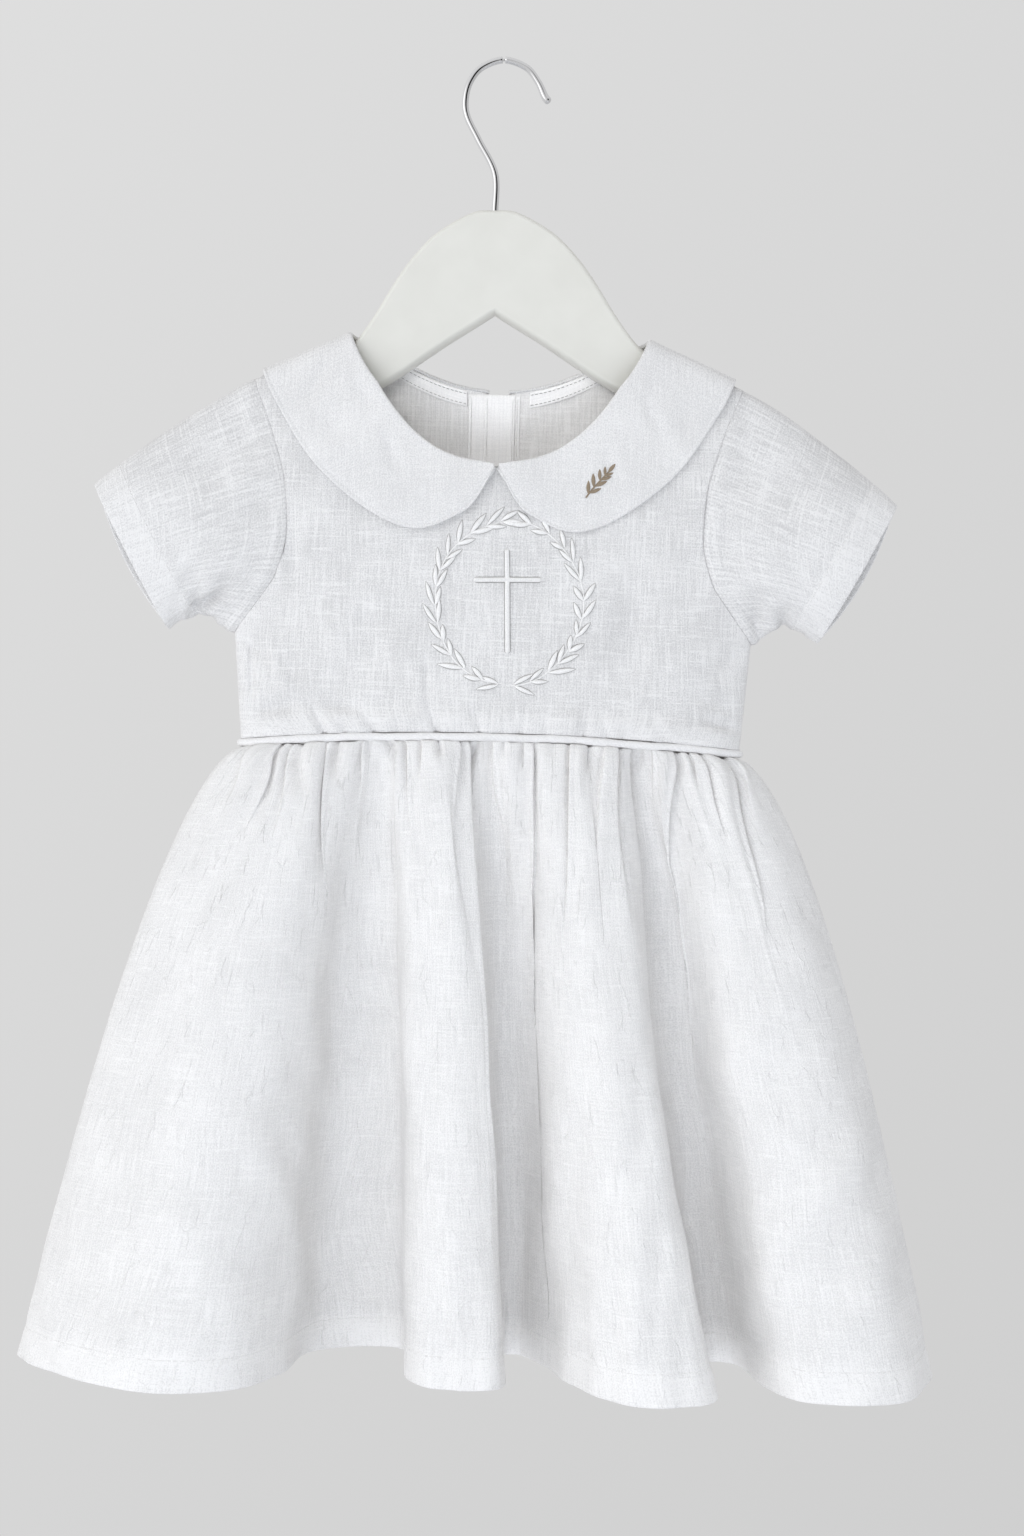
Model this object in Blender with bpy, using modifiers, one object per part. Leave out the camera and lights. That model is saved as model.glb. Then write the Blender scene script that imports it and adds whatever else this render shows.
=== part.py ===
"""Christening gown hanging on a child's wooden clothes hanger.

Units are metres, +Z is up and the front of the gown faces -Y. The origin is where a rail
touches the inside of the hook. The gown is cut symmetric in its own frame and hangs with its
right shoulder a little lower. Tables are in millimetres, in the gown's own frame unless they
say otherwise: x to the viewer's right, y to the back, z up from the centre front neck point.
"""

import math

import bmesh
import bpy
from mathutils import Vector

MM = 0.001

# Hanging
NECK_POINT = (1.0, 0.0, -201.0)     # centre front neck point, from the hook's inside
LEAN = math.radians(1.4)            # right shoulder lower

# Cloth walls and clearances
WALL = 1.4
SKIRT_WALL = 1.2
COLLAR_WALL = 1.8
FACING_WALL = 1.0
STAND_WALL = 1.4
GAP = 0.3
SEAM_HALF = 0.55                    # each panel's edge from the middle of its seam
PANEL_SHIFT = Vector((0.0, SEAM_HALF, 0.0))     # the back's panels, from the body's surface
ARMHOLE_GAP = 0.5
COLLAR_LIFT = 1.2                   # collar's under side above the bodice

# Shoulders and body section
SHOULDER_X = 121.7
SHOULDER_Z = 41.0
SHOULDER_SLOPE = 0.478
YOKE_X = 60.0                       # the shoulder line is level inside this
RIDGE_HALF = 8.5                    # half depth of the cloth over the hanger's arm
RIDGE_ROUND = 3.0
CHEST_HALF = 20.0                   # how much deeper the body is than the ridge
CHEST_DROP = 55.0
CHEST_X = 129.0
UNDERARM_Z = -86.0
ARMHOLE_FLARE = 60.0
ARMHOLE_RISE = 100.0

# Neck and waist
NECK_X = 75.0
FRONT_NECK = {"drop": 72.5, "fall": 1.2, "turn": 0.42}
BACK_NECK = {"drop": 31.0, "fall": 1.0, "turn": 0.5}
STAND_HALF = 8.2                    # half width of the outer button stand
WAIST_X = 124.5
WAIST_MID_Z = -132.5
WAIST_SIDE_Z = -141.0
PIPING_RADIUS = 2.0
PIPING_POINTS = 28                  # on each of front and back

# Armhole edge: drop below the shoulder line, distance from the centre
ARMHOLE_FRONT = (
    (0.0, 121.7),
    (36.6, 110.0),
    (64.7, 103.5),
    (85.2, 102.5),
    (104.8, 107.5),
    (114.2, 117.0),
    (123.5, 129.0),
)
ARMHOLE_BACK = (
    (0.0, 121.7),
    (31.0, 113.0),
    (57.5, 108.0),
    (78.0, 107.0),
    (98.0, 111.0),
    (112.3, 119.0),
    (123.5, 129.0),
)
ARMHOLE_DROP = 123.5
FRONT_DROPS = (0.0, 0.3, 1.2, 3.0, 6.0, 12.0, 22.0, 34.0, 46.0, 57.0, 65.0, 70.0,
               72.5, 85.0, 96.0, 105.0, 112.0, 118.5, 123.5)
BACK_DROPS = (0.0, 0.3, 1.2, 3.0, 6.0, 12.0, 19.0, 25.0, 29.0, 30.6, 42.0, 57.0,
              72.5, 85.0, 96.0, 105.0, 112.0, 118.5, 123.5)
SIDE_ROWS = 3
PANEL_TURNS = (0.0, 12.0, 24.0, 36.0, 48.0, 60.0, 71.0, 80.0, 86.5, 90.0)   # degrees

# Collar's outer edge, from the centre to the shoulder: x, z
COLLAR_FRONT_EDGE = (
    (1.0, -4.0),
    (9.0, -19.0),
    (17.5, -27.0),
    (38.5, -34.5),
    (62.0, -26.0),
    (89.5, -3.0),
    (110.0, 28.0),
    (117.0, 43.3),
)
COLLAR_BACK_EDGE = (
    (6.5, 32.0),
    (7.5, 18.0),
    (11.0, 4.0),
    (20.0, -5.0),
    (40.0, -8.0),
    (66.0, -5.0),
    (88.0, 3.0),
    (109.0, 20.0),
    (117.0, 43.3),
)
COLLAR_SHARES = (0.0, 0.05, 0.11, 0.18, 0.26, 0.35, 0.45, 0.55, 0.65, 0.74, 0.81, 0.87,
                 0.915, 0.95, 0.975, 0.989, 1.0)
COLLAR_COLUMNS = 4
COLLAR_STEPS = 24                   # pieces of the neck edge's path
COLLAR_EDGE_STEPS = 6               # pieces between two points of the outer edge
COLLAR_FRONT_END_X = 1.2
COLLAR_BACK_END_X = 5.0

# Sleeves
CUFF_TOP = (200.0, -14.0)
CUFF_BOTTOM = (162.0, -84.0)
CUFF_HALF_DEPTH = 18.0
CUFF_BACK_REACH = 6.0               # how much lower the back of the cuff hangs
SLEEVE_ROWS = 5
SLEEVE_TOP_BOW = 3.0
SLEEVE_UNDER_BOW = 6.0
SLEEVE_FRONT_BOW = 5.0

# Back opening
FACING_WIDTH = 8.0
FACING_INNER_X = {-1: 15.8, 1: 15.3}
FACING_OUTER_X = 52.0
FACING_GAP = 0.6
FACING_COLUMNS = 9
STAND_FACING = (-15.2, 10.9)        # from x to x
STAND_UNDER = (-7.2, 8.4)
STAND_ROWS = 9
STAND_COLUMNS = 4
STAND_TOP_DROP = 31.5
BUTTON_RADIUS = 4.75
BUTTON_THICK = 2.0
BUTTON_SIDES = 24
BUTTON_HEIGHTS = (21.0, -34.0, -89.0)

# Skirt: a row for each fold line, from the left side to the right side
#   waist x, hem x, hem y, bow of the line (above 1 it spreads late, under 1 early)
HEM_Z = -446.0
SKIRT_FRONT_FOLDS = (
    (-124.5, -226.5, -6.0, 0.62),
    (-121.0, -226.0, -13.0, 0.62),
    (-110.0, -205.0, -42.0, 0.65),
    (-97.0, -155.0, -77.0, 0.70),
    (-86.0, -117.0, -71.0, 0.75),
    (-75.0, -93.0, -35.0, 0.80),
    (-64.0, -79.0, 14.0, 0.70),
    (-54.0, -40.0, 21.0, 0.50),
    (-44.0, -34.0, -35.0, 0.40),
    (-30.0, -12.0, -61.0, 0.60),
    (-17.0, 10.0, -54.0, 0.70),
    (-10.0, 15.0, -40.0, 0.73),
    (0.0, 16.0, 13.0, 0.75),
    (10.0, 27.0, 6.0, 0.80),
    (24.0, 46.0, -43.0, 1.00),
    (40.0, 76.0, -82.0, 1.10),
    (54.0, 103.0, -71.0, 1.30),
    (62.0, 110.0, -50.0, 1.35),
    (71.0, 114.0, 8.0, 1.20),
    (79.0, 129.0, 2.0, 0.95),
    (91.0, 147.0, -57.0, 0.80),
    (103.0, 180.0, -70.0, 0.70),
    (114.0, 212.0, -53.0, 0.65),
    (121.0, 226.0, -14.0, 0.62),
    (124.5, 226.5, -6.0, 0.62),
)
SKIRT_BACK_FOLDS = (
    (-124.5, -226.5, -6.0, 0.62),
    (-121.0, -226.0, 1.0, 0.62),
    (-112.0, -207.0, 34.0, 0.62),
    (-99.0, -180.0, 64.0, 0.66),
    (-86.0, -156.0, 64.0, 0.70),
    (-75.0, -142.0, 38.0, 0.74),
    (-65.0, -132.0, 12.0, 0.78),
    (-53.0, -111.0, 10.0, 0.80),
    (-40.0, -86.0, 52.0, 0.80),
    (-27.0, -64.0, 79.0, 0.85),
    (-14.0, -43.0, 74.0, 0.90),
    (-4.0, -33.0, 46.0, 0.90),
    (6.0, -25.0, 16.0, 0.90),
    (18.0, -6.0, 12.0, 0.90),
    (31.0, 13.0, 46.0, 0.90),
    (45.0, 37.0, 74.0, 0.90),
    (59.0, 64.0, 80.0, 0.88),
    (69.0, 79.0, 54.0, 0.85),
    (78.0, 88.0, 22.0, 0.82),
    (88.0, 106.0, 16.0, 0.80),
    (99.0, 132.0, 50.0, 0.76),
    (108.0, 162.0, 70.0, 0.70),
    (115.0, 196.0, 58.0, 0.66),
    (121.0, 226.0, 2.0, 0.62),
    (124.5, 226.5, -6.0, 0.62),
)
FOLD_DEPTH_BOW = 0.85
SKIRT_DROP = 0.7                    # skirt's top edge below the piping
FRONT_GATHERS = 28
BACK_GATHERS = 24
COLUMNS_PER_FRONT_GATHER = 4
COLUMNS_PER_BACK_GATHER = 3
GATHER_HALF = 1.9
GATHER_STITCHED = 0.5               # share of that height right at the waist seam
GATHER_RISE = 0.04
GATHER_REACH = 0.16                 # share of the skirt's length over which gathers fade
SKIRT_LEVELS = (0.0, 0.03, 0.08, 0.16, 0.28, 0.44, 0.62, 0.81, 1.0)

# Hanger, in the frame of the hook: x, z
BOARD_HALF_THICK = 6.0
BOARD_ROUND = 1.5
BOARD_STEPS = 2
BOARD_OUTLINE = (
    (0.0, -73.3),
    (11.0, -74.2),
    (28.5, -84.0),
    (40.5, -95.8),
    (50.0, -108.8),
    (61.5, -127.5),
    (73.0, -142.3),
    (86.0, -150.2),
    (100.0, -157.3),
    (109.5, -162.8),
    (115.0, -169.5),
    (114.0, -178.5),
    (104.0, -182.0),
    (60.5, -163.5),
    (25.0, -140.6),
    (7.0, -129.0),
    (0.0, -126.3),
)
WIRE_RADIUS = 1.75
WIRE_STEPS = 3
WIRE_SEAT = -92.0
SOCKET_RADIUS = 2.15
SOCKET_SPARE = 2.0                  # depth past the wire's end
SOCKET_SIDES = 16
WIRE_ROUTE = (
    (0.0, WIRE_SEAT),
    (0.0, -73.5),
    (0.0, -54.5),
    (-8.0, -38.0),
    (-13.8, -26.0),
    (-14.8, -17.5),
    (-12.5, -8.5),
    (-6.5, -1.2),
    (4.5, 2.5),
    (15.5, -1.2),
    (21.5, -8.5),
    (25.0, -16.0),
    (27.5, -18.8),
)


def smooth_path(points, steps):
    """Catmull-Rom path through the points, with `steps` pieces between neighbours."""
    last = len(points) - 1
    path = []
    for i in range(last):
        near = (points[max(i - 1, 0)], points[i], points[i + 1], points[min(i + 2, last)])
        for k in range(steps):
            t = k / steps
            path.append(tuple(
                0.5 * (2 * b + (c - a) * t + (2 * a - 5 * b + 4 * c - d) * t * t
                       + (3 * b - a - 3 * c + d) * t ** 3)
                for a, b, c, d in zip(*near)))
    path.append(tuple(points[last]))
    return path


def along(path, share):
    """Point at a share of the path's length."""
    lengths = [math.dist(a, b) for a, b in zip(path, path[1:])]
    left = share * sum(lengths)
    for a, b, length in zip(path, path[1:], lengths):
        if left <= length:
            return tuple(p + (q - p) * left / length for p, q in zip(a, b))
        left -= length
    return tuple(path[-1])


def table_value(rows, column, key):
    """Column's value at a key of the first column, by a cubic that never overshoots a row."""
    keys = [row[0] for row in rows]
    values = [row[column] for row in rows]
    slopes = [(values[i + 1] - values[i]) / (keys[i + 1] - keys[i]) for i in range(len(rows) - 1)]
    tangents = [slopes[0]]
    for before, after in zip(slopes, slopes[1:]):
        level = before * after <= 0.0
        tangents.append(0.0 if level else 2.0 * before * after / (before + after))
    tangents.append(slopes[-1])
    i = 0
    while i < len(rows) - 2 and key > keys[i + 1]:
        i += 1
    width = keys[i + 1] - keys[i]
    t = min(max((key - keys[i]) / width, 0.0), 1.0)
    start = (1 + 2 * t) * (1 - t) ** 2 * values[i] + t * (1 - t) ** 2 * width * tangents[i]
    end = t * t * (3 - 2 * t) * values[i + 1] - t * t * (1 - t) * width * tangents[i + 1]
    return start + end


def shoulder_z(x):
    """Height of the shoulder line."""
    return SHOULDER_Z + SHOULDER_SLOPE * (SHOULDER_X - max(abs(x), YOKE_X))


def body_half_width(z):
    """Half width of the body's oval section, opened out above the underarm."""
    if z <= UNDERARM_Z:
        share = (UNDERARM_Z - z) / (UNDERARM_Z - WAIST_SIDE_Z)
        return CHEST_X + (WAIST_X - CHEST_X) * share
    t = min((z - UNDERARM_Z) / ARMHOLE_RISE, 1.0)
    return CHEST_X + ARMHOLE_FLARE * t * t * (3.0 - 2.0 * t)


def body_depth(x, z):
    """Distance of the cloth from the middle plane, on the front and on the back."""
    drop = max(shoulder_z(x) - z, 0.0)
    ridge = RIDGE_HALF * math.sqrt(1.0 - math.exp(-drop / RIDGE_ROUND))
    chest = CHEST_HALF * (1.0 - math.exp(-drop / CHEST_DROP))
    oval = math.sqrt(max(0.0, 1.0 - (x / body_half_width(z)) ** 2))
    return (ridge + chest) * oval


def skin(x, drop):
    """Point of the body's surface: drop is below the shoulder line, negative on the back."""
    z = shoulder_z(x) - abs(drop)
    side = -1.0 if drop >= 0.0 else 1.0
    return Vector((x, side * body_depth(x, z), z))


def lifted(x, drop, lift):
    """Point of the body's surface moved out along its normal."""
    step = 0.5
    across = skin(x + step, drop) - skin(x - step, drop)
    down = skin(x, drop + step) - skin(x, drop - step)
    return skin(x, drop) + down.cross(across).normalized() * lift


def neck_x(neck, drop):
    """Distance of the neck edge from the centre at a drop below the shoulder line."""
    share = min(drop / neck["drop"], 1.0)
    return NECK_X * (1.0 - share ** neck["fall"]) ** neck["turn"]


def neck_drop(neck, x):
    """Drop of the neck edge below the shoulder line at a distance from the centre."""
    share = min(abs(x) / NECK_X, 1.0)
    return neck["drop"] * (1.0 - share ** (1.0 / neck["turn"])) ** (1.0 / neck["fall"])


def waist_z(x):
    """Height of the waist seam, which hangs lower at the sides."""
    return WAIST_MID_Z + (WAIST_SIDE_Z - WAIST_MID_Z) * (x / WAIST_X) ** 2


def new_material(name, colour, roughness, metallic=0.0):
    material = bpy.data.materials.new(name)
    material.use_nodes = True
    shader = material.node_tree.nodes["Principled BSDF"]
    shader.inputs["Base Color"].default_value = (*colour, 1.0)
    shader.inputs["Roughness"].default_value = roughness
    shader.inputs["Metallic"].default_value = metallic
    return material


def add_object(name, data, material, parent=None):
    thing = bpy.data.objects.new(name, data)
    data.materials.append(material)
    thing.parent = parent
    bpy.data.collections["christening_gown"].objects.link(thing)
    return thing


def surface_mesh(name, rows, inside, ring=False):
    """Grid of faces through rows of points, all facing away from the point `inside`."""
    mesh = bpy.data.meshes.new(name)
    build = bmesh.new()
    grid = [[build.verts.new(Vector(point) * MM) for point in row] for row in rows]
    for row, below in zip(grid, grid[1:]):
        columns = range(len(row) if ring else len(row) - 1)
        for i in columns:
            j = (i + 1) % len(row)
            build.faces.new((row[i], row[j], below[j], below[i]))
    build.normal_update()
    middle = Vector(inside) * MM
    facing = sum(face.normal.dot(face.calc_center_median() - middle) for face in build.faces)
    if facing < 0.0:
        bmesh.ops.reverse_faces(build, faces=build.faces)
    build.to_mesh(mesh)
    build.free()
    mesh.shade_smooth()
    return mesh


def add_wall(name, rows, inside, thickness, material, parent, ring=False):
    """Cloth wall whose outer face runs through the rows."""
    mesh = surface_mesh(name, rows, inside, ring)
    piece = add_object(name, mesh, material, parent)
    solid = piece.modifiers.new("thickness", "SOLIDIFY")
    solid.thickness = thickness * MM
    solid.offset = -1.0
    return piece


def panel_point(side, x, z):
    """Point of a bodice panel: side is -1 on the front and 1 on the back."""
    return Vector((x, side * (body_depth(x, z) + SEAM_HALF), z))


def panel_rows(side, neck, armhole, drops, centre_x):
    """Rows of half a bodice panel, from its inner edge to its side, shoulder to waist."""
    rows = []
    turns = [math.sin(math.radians(turn)) for turn in PANEL_TURNS]
    for drop in drops:
        inner = max(neck_x(neck, drop), centre_x)
        outer = table_value(armhole, 1, drop)
        rounded = (drop / ARMHOLE_DROP) ** 4
        row = []
        for i, turn in enumerate(turns):
            even = i / (len(turns) - 1)
            x = inner + (outer - inner) * (even + (turn - even) * rounded)
            row.append(panel_point(side, x, shoulder_z(x) - drop))
        rows.append(row)
    for step in range(1, SIDE_ROWS + 1):
        share = step / SIDE_ROWS
        outer = CHEST_X + (WAIST_X - CHEST_X) * share
        row = []
        for turn in turns:
            x = centre_x + (outer - centre_x) * turn
            top = shoulder_z(x) - ARMHOLE_DROP
            bottom = waist_z(x) + PIPING_RADIUS + GAP
            row.append(panel_point(side, x, top + (bottom - top) * share))
        rows.append(row)
    return rows


def make_bodice(cloth, frame):
    rows = panel_rows(-1, FRONT_NECK, ARMHOLE_FRONT, FRONT_DROPS, 0.0)
    mesh = surface_mesh("bodice_front", rows, (60.0, 0.0, -80.0))
    front = add_object("bodice_front", mesh, cloth, frame)
    mirror = front.modifiers.new("other_half", "MIRROR")
    mirror.merge_threshold = 0.00001
    solid = front.modifiers.new("thickness", "SOLIDIFY")
    solid.thickness = WALL * MM
    solid.offset = -1.0
    for name, sign in (("bodice_back_left", -1), ("bodice_back_right", 1)):
        half = panel_rows(1, BACK_NECK, ARMHOLE_BACK, BACK_DROPS, STAND_HALF + GAP)
        rows = [[(sign * p.x, p.y, p.z) for p in row] for row in half]
        add_wall(name, rows, (sign * 60.0, 0.0, -80.0), WALL, cloth, frame)


def collar_edges(side, neck, end_x, outer_edge):
    """Neck edge and outer edge as paths of x and signed drop, centre to shoulder."""
    turns = [0.5 * math.pi * i / COLLAR_STEPS for i in range(COLLAR_STEPS + 1)]
    spread = [end_x + (NECK_X - end_x) * math.sin(turn) for turn in turns]
    inner = [(x, side * neck_drop(neck, x)) for x in spread]
    edge = smooth_path(outer_edge, COLLAR_EDGE_STEPS)
    outer = [(x, side * max(shoulder_z(x) - z, 0.0)) for x, z in edge]
    return inner, outer


def make_collars(cloth, frame):
    front = collar_edges(1.0, FRONT_NECK, COLLAR_FRONT_END_X, COLLAR_FRONT_EDGE)
    back = collar_edges(-1.0, BACK_NECK, COLLAR_BACK_END_X, COLLAR_BACK_EDGE)
    stations = [(front, share) for share in COLLAR_SHARES]
    stations += [(back, share) for share in reversed(COLLAR_SHARES[:-1])]
    half = []
    for (inner, outer), share in stations:
        start = along(inner, share)
        end = along(outer, share)
        row = []
        for i in range(COLLAR_COLUMNS + 1):
            x, drop = (a + (b - a) * i / COLLAR_COLUMNS for a, b in zip(start, end))
            row.append(lifted(x, drop, COLLAR_LIFT + COLLAR_WALL))
        half.append(row)
    for name, sign in (("collar_left", -1), ("collar_right", 1)):
        rows = [[(sign * p.x, p.y, p.z) for p in row] for row in half]
        add_wall(name, rows, (sign * 85.0, 0.0, 20.0), COLLAR_WALL, cloth, frame)


def armhole_ring():
    """Armhole seam from the shoulder down the front to the underarm and up the back."""
    ring = []
    for side, armhole, drops in ((-1, ARMHOLE_FRONT, FRONT_DROPS), (1, ARMHOLE_BACK, BACK_DROPS)):
        edge = []
        for drop in drops:
            x = table_value(armhole, 1, drop)
            z = shoulder_z(x) - drop
            edge.append((x + ARMHOLE_GAP, side * body_depth(x, z), z))
        half = sum(math.dist(a, b) for a, b in zip(edge, edge[1:]))
        turned = 0.0
        stations = []
        for a, b in zip([edge[0]] + edge, edge):
            turned += math.dist(a, b)
            stations.append((b, side, turned / half))
        ring += stations if side < 0 else stations[-2:0:-1]
    return ring


def make_sleeves(cloth, frame):
    middle = Vector(((CUFF_TOP[0] + CUFF_BOTTOM[0]) / 2, 0.0, (CUFF_TOP[1] + CUFF_BOTTOM[1]) / 2))
    upward = Vector((CUFF_TOP[0], 0.0, CUFF_TOP[1])) - middle
    forward = Vector((0.0, 1.0, 0.0)) * CUFF_HALF_DEPTH
    outward = forward.cross(upward).normalized()
    half = []
    for step in range(SLEEVE_ROWS + 1):
        share = step / SLEEVE_ROWS
        bow = 4.0 * share * (1.0 - share)
        row = []
        for point, side, turned in armhole_ring():
            turn = math.pi * turned
            cuff = middle + upward * math.cos(turn) + forward * side * math.sin(turn)
            place = Vector(point).lerp(cuff, share)
            top = max(math.cos(turn), 0.0) * SLEEVE_TOP_BOW
            under = max(-math.cos(turn), 0.0) * SLEEVE_UNDER_BOW
            place += upward.normalized() * bow * (top + under)
            place.y += side * bow * math.sin(turn) * SLEEVE_FRONT_BOW
            if side > 0:
                place += outward * CUFF_BACK_REACH * math.sin(turn) ** 2 * share
            row.append(place)
        half.append(row)
    for name, sign in (("sleeve_left", -1), ("sleeve_right", 1)):
        rows = [[(sign * p.x, p.y, p.z) for p in row] for row in half]
        add_wall(name, rows, (sign * 150.0, 0.0, -35.0), WALL, cloth, frame, ring=True)


def back_strip(x_left, x_right, lift):
    """Rows of a strip down the centre back, from the neck edge to the waist."""
    rows = []
    for step in range(STAND_ROWS + 1):
        share = step / STAND_ROWS
        row = []
        for i in range(STAND_COLUMNS + 1):
            x = x_left + (x_right - x_left) * i / STAND_COLUMNS
            bottom = shoulder_z(x) - (waist_z(x) + PIPING_RADIUS + GAP)
            drop = STAND_TOP_DROP + (bottom - STAND_TOP_DROP) * share
            row.append(lifted(x, -drop, lift) + PANEL_SHIFT)
        rows.append(row)
    return rows


def make_back_opening(cloth, button, frame):
    inside = (0.0, 0.0, -50.0)
    over = back_strip(-STAND_HALF, STAND_HALF, 0.0)
    add_wall("button_stand_over", over, inside, STAND_WALL, cloth, frame)
    lift = -(STAND_WALL + GAP)
    facing = back_strip(*STAND_FACING, lift)
    add_wall("button_stand_facing", facing, inside, FACING_WALL, cloth, frame)
    lift -= FACING_WALL + GAP
    under = back_strip(*STAND_UNDER, lift)
    add_wall("button_stand_under", under, inside, STAND_WALL, cloth, frame)
    for name, sign in (("neck_facing_left", -1), ("neck_facing_right", 1)):
        inner_x = FACING_INNER_X[sign]
        rows = []
        for share in (0.0, 0.5, 1.0):
            row = []
            for i in range(FACING_COLUMNS + 1):
                x = inner_x + (FACING_OUTER_X - inner_x) * i / FACING_COLUMNS
                drop = neck_drop(BACK_NECK, x) + GAP + FACING_WIDTH * share
                point = lifted(x, -drop, -(WALL + FACING_GAP)) + PANEL_SHIFT
                row.append((sign * point.x, point.y, point.z))
            rows.append(row)
        add_wall(name, rows, (sign * 40.0, 0.0, 0.0), FACING_WALL, cloth, frame)
    for i, height in enumerate(BUTTON_HEIGHTS):
        bpy.ops.mesh.primitive_cylinder_add(
            vertices=BUTTON_SIDES, radius=BUTTON_RADIUS * MM, depth=BUTTON_THICK * MM)
        disc = bpy.context.object
        mesh = disc.data
        bpy.data.objects.remove(disc)
        piece = add_object(f"button_{i + 1}", mesh, button, frame)
        drop = shoulder_z(0.0) - height
        seat = lifted(0.0, -drop, GAP + BUTTON_THICK / 2) + PANEL_SHIFT
        normal = lifted(0.0, -drop, 1.0) - skin(0.0, -drop)
        piece.location = seat * MM
        piece.rotation_euler = normal.to_track_quat("Z", "Y").to_euler()


def waist_point(side, x):
    """Point of the waist seam's outer face."""
    return Vector((x, side * body_depth(x, waist_z(x)), waist_z(x)))


def make_piping(cloth, frame):
    curve = bpy.data.curves.new("waist_piping", "CURVE")
    curve.dimensions = "3D"
    curve.bevel_depth = PIPING_RADIUS * MM
    curve.bevel_resolution = 1
    curve.use_fill_caps = True
    turns = [0.5 * math.pi * i / (PIPING_POINTS / 2) for i in range(PIPING_POINTS // 2 + 1)]
    quarter = [WAIST_X * math.sin(turn) for turn in turns]
    half = [waist_point(1, max(x, GAP)) for x in quarter]
    half += [waist_point(-1, x) for x in reversed(quarter[:-1])]
    route = half + [Vector((-p.x, p.y, p.z)) for p in reversed(half[:-1])]
    spline = curve.splines.new("POLY")
    spline.points.add(len(route) - 1)
    for node, place in zip(spline.points, route):
        node.co = (*(place * MM), 1.0)
    add_object("waist_piping", curve, cloth, frame)


def skirt_point(side, folds, gathers, waist_x, level):
    """Point of the skirt: level is 0 at the waist seam and 1 at the hem."""
    hem_x = table_value(folds, 1, waist_x)
    hem_y = table_value(folds, 2, waist_x) + side * SEAM_HALF
    bow = table_value(folds, 3, waist_x)
    top_z = waist_z(waist_x) - PIPING_RADIUS - SKIRT_DROP
    top_y = side * (body_depth(waist_x, top_z) + SEAM_HALF)
    x = waist_x + (hem_x - waist_x) * level ** bow
    y = top_y + (hem_y - top_y) * level ** FOLD_DEPTH_BOW
    wave = math.cos(2.0 * math.pi * gathers * (waist_x / WAIST_X + 1.0) / 2.0)
    flat = math.sqrt(max(0.0, 1.0 - (waist_x / WAIST_X) ** 2))
    open_up = min(GATHER_STITCHED + level / GATHER_RISE, 1.0)
    y += side * GATHER_HALF * open_up * wave * flat * math.exp(-level / GATHER_REACH)
    return Vector((x, y, top_z + (HEM_Z - top_z) * level))


def make_skirt(cloth, frame):
    for name, side, folds, gathers, columns in (
            ("skirt_front", -1, SKIRT_FRONT_FOLDS, FRONT_GATHERS,
             FRONT_GATHERS * COLUMNS_PER_FRONT_GATHER),
            ("skirt_back", 1, SKIRT_BACK_FOLDS, BACK_GATHERS,
             BACK_GATHERS * COLUMNS_PER_BACK_GATHER)):
        rows = []
        for level in SKIRT_LEVELS:
            row = []
            for i in range(columns + 1):
                waist_x = WAIST_X * (2.0 * i / columns - 1.0)
                row.append(skirt_point(side, folds, gathers, waist_x, level))
            rows.append(row)
        add_wall(name, rows, (0.0, 0.0, -300.0), SKIRT_WALL, cloth, frame)


def make_board(wood):
    half = smooth_path(BOARD_OUTLINE, BOARD_STEPS)
    outline = half + [(-x, z) for x, z in reversed(half[1:-1])]
    curve = bpy.data.curves.new("board_outline", "CURVE")
    curve.dimensions = "2D"
    curve.fill_mode = "BOTH"
    curve.extrude = BOARD_HALF_THICK * MM
    spline = curve.splines.new("POLY")
    spline.points.add(len(outline) - 1)
    for node, (x, z) in zip(spline.points, outline):
        node.co = (x * MM, z * MM, 0.0, 1.0)
    spline.use_cyclic_u = True
    guide = bpy.data.objects.new("board_outline", curve)
    bpy.context.scene.collection.objects.link(guide)
    guide.rotation_euler = (math.pi / 2, 0.0, 0.0)
    bpy.context.view_layer.update()
    graph = bpy.context.evaluated_depsgraph_get()
    mesh = bpy.data.meshes.new_from_object(guide.evaluated_get(graph))
    mesh.transform(guide.matrix_world)
    build = bmesh.new()
    build.from_mesh(mesh)
    bmesh.ops.remove_doubles(build, verts=build.verts, dist=0.00001)
    build.to_mesh(mesh)
    build.free()
    mesh.name = "hanger_board"
    bpy.data.objects.remove(guide)
    board = add_object("hanger_board", mesh, wood)
    edge = board.modifiers.new("rounded_edges", "BEVEL")
    edge.width = BOARD_ROUND * MM
    edge.segments = 2
    edge.limit_method = "ANGLE"
    edge.angle_limit = math.radians(60.0)

    mouth = BOARD_OUTLINE[0][1]
    depth = mouth - WIRE_SEAT + SOCKET_SPARE
    bpy.ops.mesh.primitive_cylinder_add(
        vertices=SOCKET_SIDES, radius=SOCKET_RADIUS * MM, depth=2.0 * depth * MM,
        location=(0.0, 0.0, mouth * MM))
    socket = bpy.context.object
    socket.name = "hook_socket"
    socket.hide_render = True
    socket.display_type = "WIRE"
    for home in list(socket.users_collection):
        home.objects.unlink(socket)
    bpy.data.collections["cutters"].objects.link(socket)
    cut = board.modifiers.new("hook_socket", "BOOLEAN")
    cut.operation = "DIFFERENCE"
    cut.object = socket


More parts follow.
